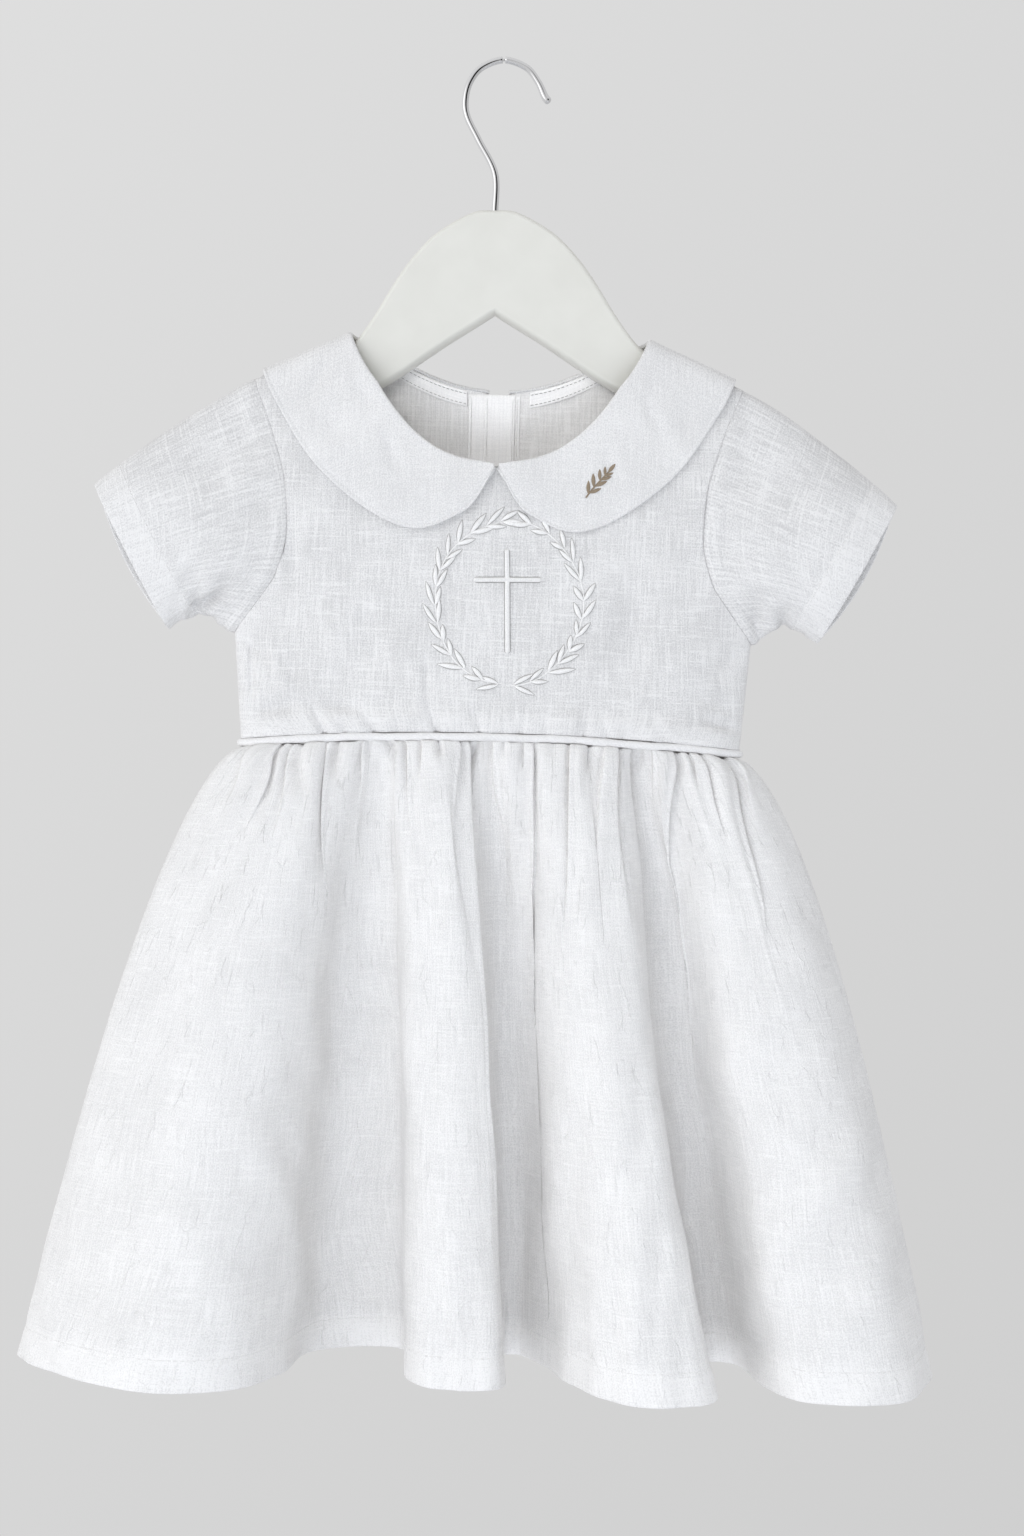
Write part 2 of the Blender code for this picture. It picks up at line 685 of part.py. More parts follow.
def make_hook(metal):
    curve = bpy.data.curves.new("hanger_hook", "CURVE")
    curve.dimensions = "3D"
    curve.bevel_depth = WIRE_RADIUS * MM
    curve.bevel_resolution = 2
    curve.use_fill_caps = True
    straight = list(WIRE_ROUTE[:2])
    bent = smooth_path(WIRE_ROUTE[2:], WIRE_STEPS)
    route = straight + bent
    spline = curve.splines.new("POLY")
    spline.points.add(len(route) - 1)
    for node, (x, z) in zip(spline.points, route):
        node.co = (x * MM, 0.0, z * MM, 1.0)
    add_object("hanger_hook", curve, metal)


def main():
    for thing in list(bpy.data.objects):
        bpy.data.objects.remove(thing)
    for name in ("christening_gown", "cutters"):
        bpy.context.scene.collection.children.link(bpy.data.collections.new(name))
    cloth = new_material("white_linen", (0.90, 0.90, 0.90), 0.85)
    doubled = new_material("doubled_linen", (0.94, 0.94, 0.94), 0.80)
    pearl = new_material("button_white", (0.88, 0.87, 0.84), 0.35)
    wood = new_material("painted_wood", (0.84, 0.83, 0.80), 0.40)
    metal = new_material("chrome_wire", (0.75, 0.75, 0.76), 0.15, 1.0)
    frame = bpy.data.objects.new("gown_frame", None)
    bpy.data.collections["christening_gown"].objects.link(frame)
    frame.location = Vector(NECK_POINT) * MM
    frame.rotation_euler = (0.0, LEAN, 0.0)
    make_bodice(cloth, frame)
    make_collars(doubled, frame)
    make_sleeves(cloth, frame)
    make_back_opening(cloth, pearl, frame)
    make_piping(doubled, frame)
    make_skirt(cloth, frame)
    make_board(wood)
    make_hook(metal)


main()
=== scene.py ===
"""Looks of the christening gown on its hanger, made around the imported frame.

Shapes are worked out in millimetres in the gown's own frame (x to the viewer's right, y to the
back, z up from the centre front neck point) and `hung` puts them in the scene, in metres. Every
cloth is a thin shell on the form of its CAD solid, so the sizes below repeat the part's source.
"""

import math
import random

import bmesh
import bpy
import numpy as np
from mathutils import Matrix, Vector


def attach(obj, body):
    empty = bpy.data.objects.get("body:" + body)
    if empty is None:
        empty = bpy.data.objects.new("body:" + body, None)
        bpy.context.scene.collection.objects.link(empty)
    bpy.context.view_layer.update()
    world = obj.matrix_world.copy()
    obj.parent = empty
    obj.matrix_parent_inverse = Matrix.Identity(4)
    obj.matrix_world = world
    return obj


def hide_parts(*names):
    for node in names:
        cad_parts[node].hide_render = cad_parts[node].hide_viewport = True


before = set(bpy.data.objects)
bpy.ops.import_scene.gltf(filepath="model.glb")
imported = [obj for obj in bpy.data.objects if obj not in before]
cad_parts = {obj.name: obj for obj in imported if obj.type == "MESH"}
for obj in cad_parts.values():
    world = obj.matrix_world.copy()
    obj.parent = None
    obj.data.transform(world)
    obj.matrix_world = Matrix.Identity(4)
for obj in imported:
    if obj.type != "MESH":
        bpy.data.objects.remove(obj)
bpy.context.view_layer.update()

MM = 0.001

# Hanging, as in the part
NECK_POINT = np.array((1.0, 0.0, -201.0))
LEAN = math.radians(1.4)

# Cloth
SHELL = 0.5  # single cloth
COLLAR_SHELL = 1.3  # two layers, pressed
SEAM_HALF = 0.55
SIDE_SEAM_CLOSED = 0.6  # share by which the gap closes at the side seams
SEAM_LINE = 0.3  # narrow line between the bodice and the piping
TURNED_IN = 1.1  # how far a seamed edge turns in
TURNED_OVER = 0.45  # how far it closes the seam's gap
HEM_FOLD = 0.6  # radius of a hem's fold

# Shoulders and body section, as in the part
SHOULDER_X = 121.7
SHOULDER_Z = 41.0
SHOULDER_SLOPE = 0.478
YOKE_X = 60.0
RIDGE_HALF = 8.5
RIDGE_ROUND = 3.0
CHEST_HALF = 20.0
CHEST_DROP = 55.0
CHEST_X = 129.0
UNDERARM_Z = -86.0
ARMHOLE_FLARE = 60.0
ARMHOLE_RISE = 100.0
ARMHOLE_DROP = 123.5

# Neck and waist, as in the part
NECK_X = 75.0
FRONT_NECK = {"drop": 72.5, "fall": 1.2, "turn": 0.42}
BACK_NECK = {"drop": 31.0, "fall": 1.0, "turn": 0.5}
STAND_HALF = 8.2
WAIST_X = 124.5
WAIST_MID_Z = -135.5  # 3 lower than the part's, as in the photograph
WAIST_SIDE_Z = -141.0
PIPING_RADIUS = 2.0

# Armhole edge, as in the part: drop below the shoulder line, distance from the centre
ARMHOLE_FRONT = (
    (0, 121.7),
    (36.6, 110),
    (64.7, 103.5),
    (85.2, 102.5),
    (104.8, 107.5),
    (114.2, 117),
    (123.5, 129),
)
ARMHOLE_BACK = (
    (0, 121.7),
    (31, 113),
    (57.5, 108),
    (78, 107),
    (98, 111),
    (112.3, 119),
    (123.5, 129),
)

# Collar's outer edge, as in the part: x, z
COLLAR_LIFT = 3.0  # its upper side above the bodice
COLLAR_FRONT_EDGE = (
    (1, -4),
    (9, -19),
    (17.5, -27),
    (38.5, -34.5),
    (62, -26),
    (89.5, -3),
    (110, 28),
    (117, 43.3),
)
COLLAR_BACK_EDGE = (
    (6.5, 32),
    (7.5, 18),
    (11, 4),
    (20, -5),
    (40, -8),
    (66, -5),
    (88, 3),
    (109, 20),
    (117, 43.3),
)
COLLAR_FRONT_END_X = 1.2
COLLAR_BACK_END_X = 5.0

# Sleeves, as in the part
CUFF_TOP = (200.0, -14.0)
CUFF_BOTTOM = (162.0, -84.0)
CUFF_HALF_DEPTH = 18.0
CUFF_BACK_REACH = 6.0
SLEEVE_TOP_BOW = 3.0
SLEEVE_UNDER_BOW = 6.0
SLEEVE_FRONT_BOW = 5.0

# Back opening, as in the part
FACING_WIDTH = 8.0
FACING_INNER_X = {-1: 15.8, 1: 15.3}
FACING_OUTER_X = 52.0
STAND_FACING = (-15.2, 10.9)
STAND_UNDER = (-7.2, 8.4)
STAND_TOP_DROP = 31.5
BUTTON_RADIUS = 4.75
BUTTON_HEIGHTS = (21.0, -34.0, -89.0)

# Skirt, as in the part: waist x, hem x, hem y, bow of the fold line
HEM_Z = -446.0
HEM_DEEP = 15.0
SKIRT_FRONT_FOLDS = (
    (-124.5, -226.5, -6, 0.62),
    (-121, -226, -13, 0.62),
    (-110, -205, -42, 0.65),
    (-97, -155, -77, 0.70),
    (-86, -117, -71, 0.75),
    (-75, -93, -35, 0.80),
    (-64, -79, 14, 0.70),
    (-54, -40, 21, 0.50),
    (-44, -34, -35, 0.40),
    (-30, -13, -60, 0.60),
    (-17, 8, -57.5, 0.70),
    (-13, 13.8, -53, 0.72),
    (-10.8, 15.8, -46, 0.73),
    (-8.5, 13.8, -37, 0.73),
    (-4, 12.4, -10, 0.74),
    (0, 14.6, 9, 0.75),
    (4, 19.5, 13, 0.77),
    (11, 28.5, 4, 0.80),
    (24, 46, -43, 1.00),
    (40, 75, -81, 1.10),
    (54, 101, -79, 1.30),
    (60, 110.2, -74, 1.33),
    (63, 114, -67.5, 1.33),
    (65, 115.2, -60, 1.32),
    (67.5, 113.2, -48, 1.30),
    (71, 112.6, -15, 1.22),
    (74, 116.6, 4, 1.10),
    (79, 127, 4, 0.95),
    (91, 147, -57, 0.80),
    (103, 180, -70, 0.70),
    (114, 212, -53, 0.65),
    (121, 226, -14, 0.62),
    (124.5, 226.5, -6, 0.62),
)
SKIRT_BACK_FOLDS = (
    (-124.5, -226.5, -6, 0.62),
    (-121, -226, 1, 0.62),
    (-112, -207, 34, 0.62),
    (-99, -180, 64, 0.66),
    (-86, -156, 64, 0.70),
    (-75, -142, 38, 0.74),
    (-65, -132, 12, 0.78),
    (-53, -111, 10, 0.80),
    (-40, -86, 52, 0.80),
    (-27, -64, 79, 0.85),
    (-14, -43, 74, 0.90),
    (-4, -33, 46, 0.90),
    (6, -25, 16, 0.90),
    (18, -6, 12, 0.90),
    (31, 13, 46, 0.90),
    (45, 37, 74, 0.90),
    (59, 64, 80, 0.88),
    (69, 79, 54, 0.85),
    (78, 88, 22, 0.82),
    (88, 106, 16, 0.80),
    (99, 132, 50, 0.76),
    (108, 162, 70, 0.70),
    (115, 196, 58, 0.66),
    (121, 226, 2, 0.62),
    (124.5, 226.5, -6, 0.62),
)
FOLD_DEPTH_BOW = 0.85
SKIRT_DROP = 0.2

# Hanger, in the scene's frame, as in the part: x, z
BOARD_HALF_THICK = 6.0
BOARD_ROUND = 1.6  # along its back edges
BOARD_EASED = 2.4  # along its front edges, how far in
BOARD_EASED_DEEP = 4.5  # and how far back
BOARD_OUTLINE = (
    (0, -73.3),
    (11, -74.2),
    (28.5, -84),
    (40.5, -95.8),
    (50, -108.8),
    (61.5, -127.5),
    (73, -142.3),
    (86, -150.2),
    (100, -157.3),
    (109.5, -162.8),
    (115, -169.5),
    (114, -178.5),
    (104, -182),
    (60.5, -163.5),
    (25, -140.6),
    (7, -129.3),
    (0, -124.8),
)
WIRE_RADIUS = 1.75
WIRE_ROUTE = (
    (0, -88),
    (0, -73.5),
    (0, -54.5),
    (-8, -38),
    (-13.8, -26),
    (-14.8, -17.5),
    (-12.5, -8.5),
    (-6.5, -1.2),
    (4.5, 2.5),
    (15.5, -1.2),
    (21.5, -8.5),
    (25, -16),
    (27.5, -18.8),
)

# Gathers under the waist, from the photograph's front. Each crease is: waist x, its
# length, length at its bend, sideways drift at the bend and at its end, how sharply the cloth
# folds over it, the side that lies on top (1 left, -1 right), depth and half width of the trough
# beside it
FRONT_GATHERS = (
    (-115.1, 29, 18, 6.5, 5.8, 1, -1, 1.2, 2.5),
    (-104.2, 40, 10, 4, 4, 0.9, 1, 1.6, 2.2),
    (-97.2, 46, 21, 4, 5.1, 0.9, -1, 1.2, 2),
    (-93, 27, 13, 5, 9, 0.4, -1, 2.6, 2.4),
    (-79.3, 78, 26, 2, 6.3, 1, -1, 1, 1.8),
    (-74.4, 19, 9, 0.5, 3, 0.3, -1, 3, 1.8),
    (-62.7, 30, 11, 1.8, 2.3, 0.9, -1, 1, 1.5),
    (-59.3, 9, 4, 0.4, 0.5, 0, -1, 2.2, 1.4),
    (-50.3, 7, 5, 0, 0, 0, -1, 3.4, 1.3),
    (-47.3, 115, 27, -0.5, -3.8, 0.7, -1, 0.8, 3),
    (-41.6, 62, 20, 0.1, 2, 0.9, -1, 1.2, 1.6),
    (-33.1, 18, 9, -1.8, -3.2, 0.7, -1, 1.4, 1.2),
    (-23.6, 8, 4, -1.6, -2.2, 0, -1, 2.8, 1.3),
    (-13.4, 44, 18, -6, -10.5, 0.9, 1, 1.4, 1.8),
    (-9.8, 302, 27, -1, -1, 1.2, 1, 4.6, 4.6),
    (-5.6, 15, 9, -1, -1.3, 0.2, -1, 1.2, 1.2),
    (1.8, 44, 17, -1.7, 2.4, 1, -1, 1.4, 1.8),
    (7.8, 6, 3, -0.8, -1.4, 0, -1, 2.2, 1.2),
    (16.6, 13, 7, -0.6, -0.1, 0.5, -1, 1.6, 1.2),
    (21.1, 130, 23, 0.3, -13.9, 1.1, 1, 1.2, 2),
    (30.5, 8, 4, -0.4, -0.5, 0, 1, 0.9, 1.5),
    (39.4, 92, 28, -2.2, -8.7, 1.1, -1, 0.9, 1.6),
    (49.3, 13, 9, -2.5, -3.2, 0, 1, 2.6, 1.4),
    (57.4, 52, 21, -5.2, -9, 0.8, -1, 0.6, 1.5),
    (63.7, 88, 21, -2.6, -1, 1.1, 1, 2.6, 2),
    (70, 302, 28, 0.4, -5, 1.2, 1, 4.6, 4.6),
    (75.7, 11, 6, -0.7, -1.1, 0.2, -1, 1.6, 1.1),
    (80.3, 24, 11, -2, -3.6, 0.7, -1, 1, 1.4),
    (91.4, 80, 27, -8, -16, 1, 1, 2.2, 2.6),
    (94.6, 8, 4, -1.5, -2.4, 0.3, -1, 1.2, 1.1),
    (99.2, 19, 9, -2.5, -3.6, 0.9, -1, 1.4, 1.4),
    (103, 42, 19, -2.8, -3.1, 1.1, 1, 1.4, 1.8),
    (114.2, 90, 21, -5, -11, 1.1, 1, 2.8, 2.6),
    (118.6, 46, 16, -4.5, -8, 0.5, -1, 0.8, 1.6),
    (122.2, 16, 8, -3, -5, 0.4, -1, 0.6, 1.2),
)
BACK_GATHERS = (
    (-117, 52, 20, 3, 5, 0.9, -1, 1.2, 2.2),
    (-108.5, 30, 12, 1, 2, 0.8, 1, 1.4, 1.8),
    (-101, 88, 30, 2, 4.5, 1, -1, 1.6, 2.2),
    (-94.5, 12, 6, 0.4, 0.8, 0, 1, 2.6, 1.4),
    (-87, 62, 22, 1.5, 1, 1, 1, 1.6, 2),
    (-78, 120, 30, -1, 2, 1.1, -1, 1.8, 2.4),
    (-72.5, 10, 5, 0.2, 0.4, 0, -1, 2.8, 1.3),
    (-66, 44, 16, 1.5, 3, 0.9, -1, 1, 1.6),
    (-57, 150, 40, -1, -2, 1.1, 1, 2, 2.4),
    (-51, 14, 7, 0.5, 1, 0.4, 1, 1.8, 1.3),
    (-43, 70, 24, -1.5, 1, 1, -1, 1.2, 1.8),
    (-36.5, 8, 4, 0, 0.3, 0, 1, 2.6, 1.3),
    (-29, 50, 18, 1.2, 2.6, 0.8, 1, 1.4, 1.8),
    (-20, 170, 40, -1.5, -1, 1.1, -1, 2, 2.4),
    (-13, 18, 8, 0.6, 1.4, 0.7, 1, 1.2, 1.3),
    (-5, 66, 20, 1, 3, 0.9, -1, 1.4, 1.8),
    (3, 24, 10, -0.8, -1.6, 0.9, 1, 1.4, 1.5),
    (10.5, 140, 36, 1, 3, 1.1, 1, 1.8, 2.4),
    (17, 9, 4, 0.2, 0.2, 0, -1, 2.8, 1.3),
    (26, 58, 20, -2, -3.5, 1, -1, 1.2, 1.8),
    (34.5, 96, 30, -1, -3, 1, 1, 1.6, 2.2),
    (41.5, 12, 6, -0.6, -1, 0.3, 1, 2, 1.3),
    (50, 48, 18, -2, -4, 0.9, -1, 1.4, 1.8),
    (58, 160, 40, -1, -2, 1.1, -1, 2, 2.4),
    (65, 20, 9, -0.8, -1.5, 0.7, 1, 1.2, 1.4),
    (73, 78, 24, -1.5, -4, 1, 1, 1.8, 2.2),
    (80.5, 10, 5, -0.3, -0.6, 0, 1, 2.8, 1.3),
    (89, 54, 18, -2.5, -4, 0.9, -1, 1.2, 1.8),
    (96.5, 110, 30, -2, -5, 1, 1, 1.8, 2.2),
    (103.5, 28, 12, -1, -2, 0.8, -1, 1.2, 1.5),
    (111.5, 70, 22, -3, -6, 1, -1, 1.4, 2),
    (118.5, 36, 14, -2.5, -4, 0.8, 1, 1, 1.6),
)
# Broader swells and hollows between the gathers: waist x, half width, height, length
FRONT_SWELLS = (
    (-112, 4.5, 1.8, 70),
    (-100.5, 2.8, 1.4, 45),
    (-87, 6, 2.2, 110),
    (-77.5, 2.6, -2, 40),
    (-68, 4.5, 1.8, 70),
    (-55.5, 5.5, -3, 150),
    (-45, 2.4, 2.6, 140),
    (-26, 8, 2.2, 100),
    (-3.5, 5, -4.5, 120),
    (10.5, 5.5, 2.4, 80),
    (30, 7.5, 1.6, 90),
    (44.5, 3, 2, 60),
    (53.5, 3, -1.8, 50),
    (60.5, 3, 1.8, 70),
    (76.5, 4.8, -4.2, 120),
    (87.5, 3.6, 2.4, 90),
    (97, 2.2, 1.6, 45),
    (108.5, 3.8, 2.4, 90),
    (119.5, 3, 1.6, 45),
)
BACK_SWELLS = (
    (-113, 4, 1.8, 70),
    (-96, 4.5, -2.4, 90),
    (-84, 5, 2.2, 100),
    (-69, 4, -1.8, 60),
    (-60, 4, 2, 90),
    (-46.5, 4, -2.2, 80),
    (-33, 5, 2.2, 110),
    (-16, 4, -2.4, 90),
    (-1, 5.5, 2, 80),
    (14, 4, -2.2, 100),
    (30, 5.5, 2.2, 90),
    (46, 4, -2, 70),
    (61, 5, 2.4, 110),
    (77, 4, -2.2, 80),
    (92, 4.5, 2.2, 90),
    (107, 4, -1.8, 70),
)
FOLD_HALF = 0.9  # half width of a fold that lies over its crease
FOLD_OVERLAP = 2.3  # how far it doubles back: 1 is upright
FOLD_RISE = 1.2  # how far its top layer stands above the lower one's
GATHER_DEPTH = 3.0  # how much deeper the troughs are at the waist than listed
GATHER_PUFF = 2.6  # how far the cloth between creases stands out
PUFF_LONG = 45.0  # lengths over which that and the extra depth die away
PINCH_LONG = 24.0
GATHER_STITCHED = 0.42  # share of the depth right at the seam
GATHER_OPEN = 10.0  # length over which a gather opens to its full depth
SKIRT_LONG = 311.0  # down the middle, from the waist seam to the hem
DRIFT_BLEND = 7.0  # length over which the columns' shifts are blended
SKIRT_SWAY = 0.9  # how far the folds wander sideways
SKIRT_CRUMPLE = 0.35  # at the waist
HEM_CRUMPLE = 0.75  # and what the hem has more
GATHER_CALM = 6.0  # over which the gathers die away towards the side seams
SKIRT_CALM = 8.0  # and the sway and the crumples

# Creases of the bodice: from x, z to x, z, depth (less than 0 for a ridge), half width, 1 where
# it starts at a seam
FRONT_CREASES = (
    (-126, -88, -107, -101, 1.6, 4, 1),
    (-119.8, -93, -118.7, -125, 1.5, 1.5, 0.3),
    (-111, -91, -99.6, -115.6, -0.8, 2.6, 0.2),
    (-110, -98, -92, -108, 0.6, 4.5, 0),
    (-118, -124.5, -88, -121, 1.1, 3.2, 0.4),
    (-80, -138, -91.4, -115.4, 1.3, 1.8, 0.8),
    (-70, -138, -74.5, -126.5, 0.9, 1.4, 0.9),
    (-55, -137, -64, -122.5, 1.3, 1.8, 0.9),
    (-63, -123.5, -86, -120, 0.7, 3, 0.3),
    (-62, -68, -60, -114, 0.9, 8, 0),
    (-46, -137, -44, -121, 0.6, 2.4, 1),
    (-25, -136, -31, -121, 1.2, 1.6, 0.9),
    (-31, -124, -32.5, -91, 0.9, 1.3, 0.7),
    (-4.5, -137, -8.5, -119, 0.9, 1.6, 0.9),
    (14, -137, 16.5, -124, 0.6, 1.8, 1),
    (27, -137, 27.5, -117, 0.7, 3.2, 0.8),
    (45, -138, 46.8, -121, 0.8, 1.7, 0.9),
    (58, -138, 54, -120, 0.7, 1.6, 0.9),
    (64.5, -138, 65.5, -127, 0.5, 1.6, 0.9),
    (67, -52, 68.7, -114, 1.4, 8, 0),
    (93.5, -66, 95, -110, -0.9, 8, 0),
    (88, -138, 77, -121, 0.7, 2.6, 0.9),
    (124.4, -128.3, 103, -124.5, 1.9, 2.4, 0.9),
    (122.2, -119.7, 96, -112, 0.8, 4, 0.6),
    (126, -90, 109, -99, 1.3, 4.2, 1),
    (104, -42, 88, -58, 0.5, 5, 0.7),
    (-104, -45, -90, -63, 0.6, 5, 0.7),
    (-102, -20, -97, -66, 0.5, 4, 0.3),
)
CREASE_DEPTH = 2.5  # how much deeper the creases hang than listed
BODICE_CRUMPLE = 0.35
SIDE_CALM = 12.0  # over which the creases die away towards the side seams
WAIST_SWELL = 2.1  # how far the cloth stands out just above the waist seam
SWELL_ABOVE = 8.5  # its height above the seam
SWELL_TALL = 5.5
BACK_CREASES = (
    (-126, -88, -104, -99, 1.5, 4, 1),
    (-96, -137, -88, -118, 1.3, 2.8, 1),
    (-61, -136, -66, -119, 1.2, 2.6, 1),
    (-38, -135, -33, -116, 1, 2.8, 1),
    (-104, -46, -86, -66, 0.7, 5, 0.7),
    (-58, -30, -62, -82, 0.6, 7, 0),
    (24, -134, 29, -120, 0.9, 2.6, 1),
    (55, -136, 50, -117, 1.3, 2.8, 1),
    (83, -137, 90, -119, 1.1, 2.6, 1),
    (126, -88, 106, -101, 1.6, 4.2, 1),
    (104, -50, 88, -64, 0.6, 5, 0.7),
    (50, -42, 47, -92, 0.6, 7, 0),
)
# Creases of the sleeves, over the cloth laid flat: from the shoulder round the front to the
# shoulder again (0 to 2) and from the armhole to the cuff (0 to 1)
SLEEVE_LEFT_CREASES = (
    (0.93, 0.62, 0.80, 0.20, 2, 4, 0.6),
    (0.95, 0.55, 0.62, 0.66, 1.3, 4.5, 1),
    (0.97, 0.45, 0.66, 0.34, 1, 4, 1),
    (1.00, 0.60, 1.00, 0.20, 2.2, 3, 0.5),
    (0.45, 0.04, 0.52, 0.38, 0.8, 6, 1),
    (0.22, 0.10, 0.34, 0.70, 0.6, 8, 0.4),
    (0.80, 0.82, 0.64, 0.56, 0.7, 4, 0.4),
    (1.30, 0.05, 1.38, 0.60, 0.9, 7, 0.8),
    (1.62, 0.05, 1.55, 0.55, 0.8, 7, 0.8),
    (1.08, 0.50, 1.30, 0.50, 1.3, 4.5, 1),
)
SLEEVE_RIGHT_CREASES = (
    (0.96, 0.10, 0.72, 0.42, 1.4, 4.5, 1),
    (0.99, 0.40, 0.74, 0.62, 1.2, 4, 1),
    (0.55, 0.04, 0.60, 0.44, 0.8, 6, 1),
    (0.28, 0.06, 0.36, 0.60, 0.6, 8, 0.6),
    (1.00, 0.20, 1.00, 0.80, 1.6, 3.5, 0.4),
    (1.28, 0.05, 1.40, 0.55, 0.9, 7, 0.8),
    (1.06, 0.45, 1.28, 0.55, 1.2, 4.5, 1),
    (1.66, 0.08, 1.58, 0.60, 0.8, 7, 0.6),
)


def stacked(*parts):
    """Coordinates, each an array or a number, as one array of points."""
    return np.stack(np.broadcast_arrays(*parts), axis=-1)


def smooth_path(points, steps):
    """Catmull-Rom path through the points, with `steps` pieces between neighbours."""
    last = len(points) - 1
    path = []
    for i in range(last):
        near = (points[max(i - 1, 0)], points[i], points[i + 1], points[min(i + 2, last)])
        for k in range(steps):
            t = k / steps
            path.append(tuple(
                0.5 * (2 * b + (c - a) * t + (2 * a - 5 * b + 4 * c - d) * t * t
                       + (3 * b - a - 3 * c + d) * t ** 3)
                for a, b, c, d in zip(*near)))
    path.append(tuple(points[last]))
    return path


def path_lengths(path):
    """Length of the path up to each of its points."""
    steps = np.linalg.norm(np.diff(path, axis=0), axis=1)
    return np.concatenate(([0.0], np.cumsum(steps)))


def between(places, known, points):
    """Points at places of a line, which are numbers like the known ones of its own points."""
    return np.stack([np.interp(places, known, column) for column in np.transpose(points)], axis=-1)


def along(path, shares):
    """Points at shares of the path's length."""
    lengths = path_lengths(path)
    return between(np.asarray(shares) * lengths[-1], lengths, path)


def table_values(rows, column, keys, flowing=False):
    """Column's values at keys of the first column, by a cubic through the rows.

    It never overshoots a row, unless it is flowing: then it rounds the turns.
    """
    table = np.array(rows)
    known = table[:, 0]
    values = table[:, column]
    slopes = np.diff(values) / np.diff(known)
    before, after = slopes[:-1], slopes[1:]
    if flowing:
        gaps = np.diff(known)
        middle = (before * gaps[1:] + after * gaps[:-1]) / (gaps[1:] + gaps[:-1])
    else:
        steady = before * after > 0.0
        total = np.where(steady, before + after, 1.0)
        middle = np.where(steady, 2.0 * before * after / total, 0.0)
    tangents = np.concatenate(([slopes[0]], middle, [slopes[-1]]))
    i = np.clip(np.searchsorted(known, keys) - 1, 0, len(rows) - 2)
    width = known[i + 1] - known[i]
    t = np.clip((keys - known[i]) / width, 0.0, 1.0)
    start = (1 + 2 * t) * (1 - t) ** 2 * values[i] + t * (1 - t) ** 2 * width * tangents[i]
    end = t * t * (3 - 2 * t) * values[i + 1] - t * t * (1 - t) * width * tangents[i + 1]
    return start + end


def shoulder_z(x):
    return SHOULDER_Z + SHOULDER_SLOPE * (SHOULDER_X - np.maximum(np.abs(x), YOKE_X))


def body_half_width(z):
    share = (UNDERARM_Z - z) / (UNDERARM_Z - WAIST_SIDE_Z)
    below = CHEST_X + (WAIST_X - CHEST_X) * share
    t = np.clip((z - UNDERARM_Z) / ARMHOLE_RISE, 0.0, 1.0)
    above = CHEST_X + ARMHOLE_FLARE * t * t * (3.0 - 2.0 * t)
    return np.where(z <= UNDERARM_Z, below, above)


def body_depth(x, z):
    """Distance of the cloth from the middle plane, on the front and on the back."""
    drop = np.maximum(shoulder_z(x) - z, 0.0)
    ridge = RIDGE_HALF * np.sqrt(1.0 - np.exp(-drop / RIDGE_ROUND))
    chest = CHEST_HALF * (1.0 - np.exp(-drop / CHEST_DROP))
    oval = np.sqrt(np.maximum(0.0, 1.0 - (x / body_half_width(z)) ** 2))
    return (ridge + chest) * oval


def skin(x, drop):
    """Body's surface: drop is below the shoulder line, negative on the back."""
    z = shoulder_z(x) - np.abs(drop)
    side = np.where(drop >= 0.0, -1.0, 1.0)
    return stacked(x, side * body_depth(x, z), z)


def unit(vectors):
    return vectors / np.maximum(np.linalg.norm(vectors, axis=-1, keepdims=True), 1e-9)


def lifted(x, drop, lift):
    """Body's surface moved out along its normal."""
    step = 0.5
    across = skin(x + step, drop) - skin(x - step, drop)
    down = skin(x, drop + step) - skin(x, drop - step)
    return skin(x, drop) + unit(np.cross(down, across)) * np.asarray(lift)[..., None]


def neck_drop(neck, x):
    """Drop of the neck edge below the shoulder line at a distance from the centre."""
    share = np.minimum(np.abs(x) / NECK_X, 1.0)
    return neck["drop"] * (1.0 - share ** (1.0 / neck["turn"])) ** (1.0 / neck["fall"])


def neck_x(neck, drop):
    """Distance of the neck edge from the centre at a drop below the shoulder line."""
    share = np.minimum(drop / neck["drop"], 1.0)
    return NECK_X * (1.0 - share ** neck["fall"]) ** neck["turn"]


def waist_z(x):
    """Height of the waist seam, which hangs lower at the sides."""
    return WAIST_MID_Z + (WAIST_SIDE_Z - WAIST_MID_Z) * (x / WAIST_X) ** 2


def side_calm(x, over):
    """Share of the skirt's relief that stands: 0 at the side seams, 1 from `over` inwards."""
    return np.clip((WAIST_X - np.abs(x)) / over, 0.0, 1.0)


def crumple(a, b, seed, size):
    """Soft uneven relief, about -1 to 1, over two coordinates in millimetres."""
    draw = random.Random(seed)
    waves = 26
    total = 0.0
    for _ in range(waves):
        turn = draw.uniform(0.0, math.tau)
        length = size * draw.uniform(0.6, 2.2)
        phase = draw.uniform(0.0, math.tau)
        run = a * math.cos(turn) + b * math.sin(turn)
        total = total + np.sin(math.tau * run / length + phase)
    return total / math.sqrt(waves)


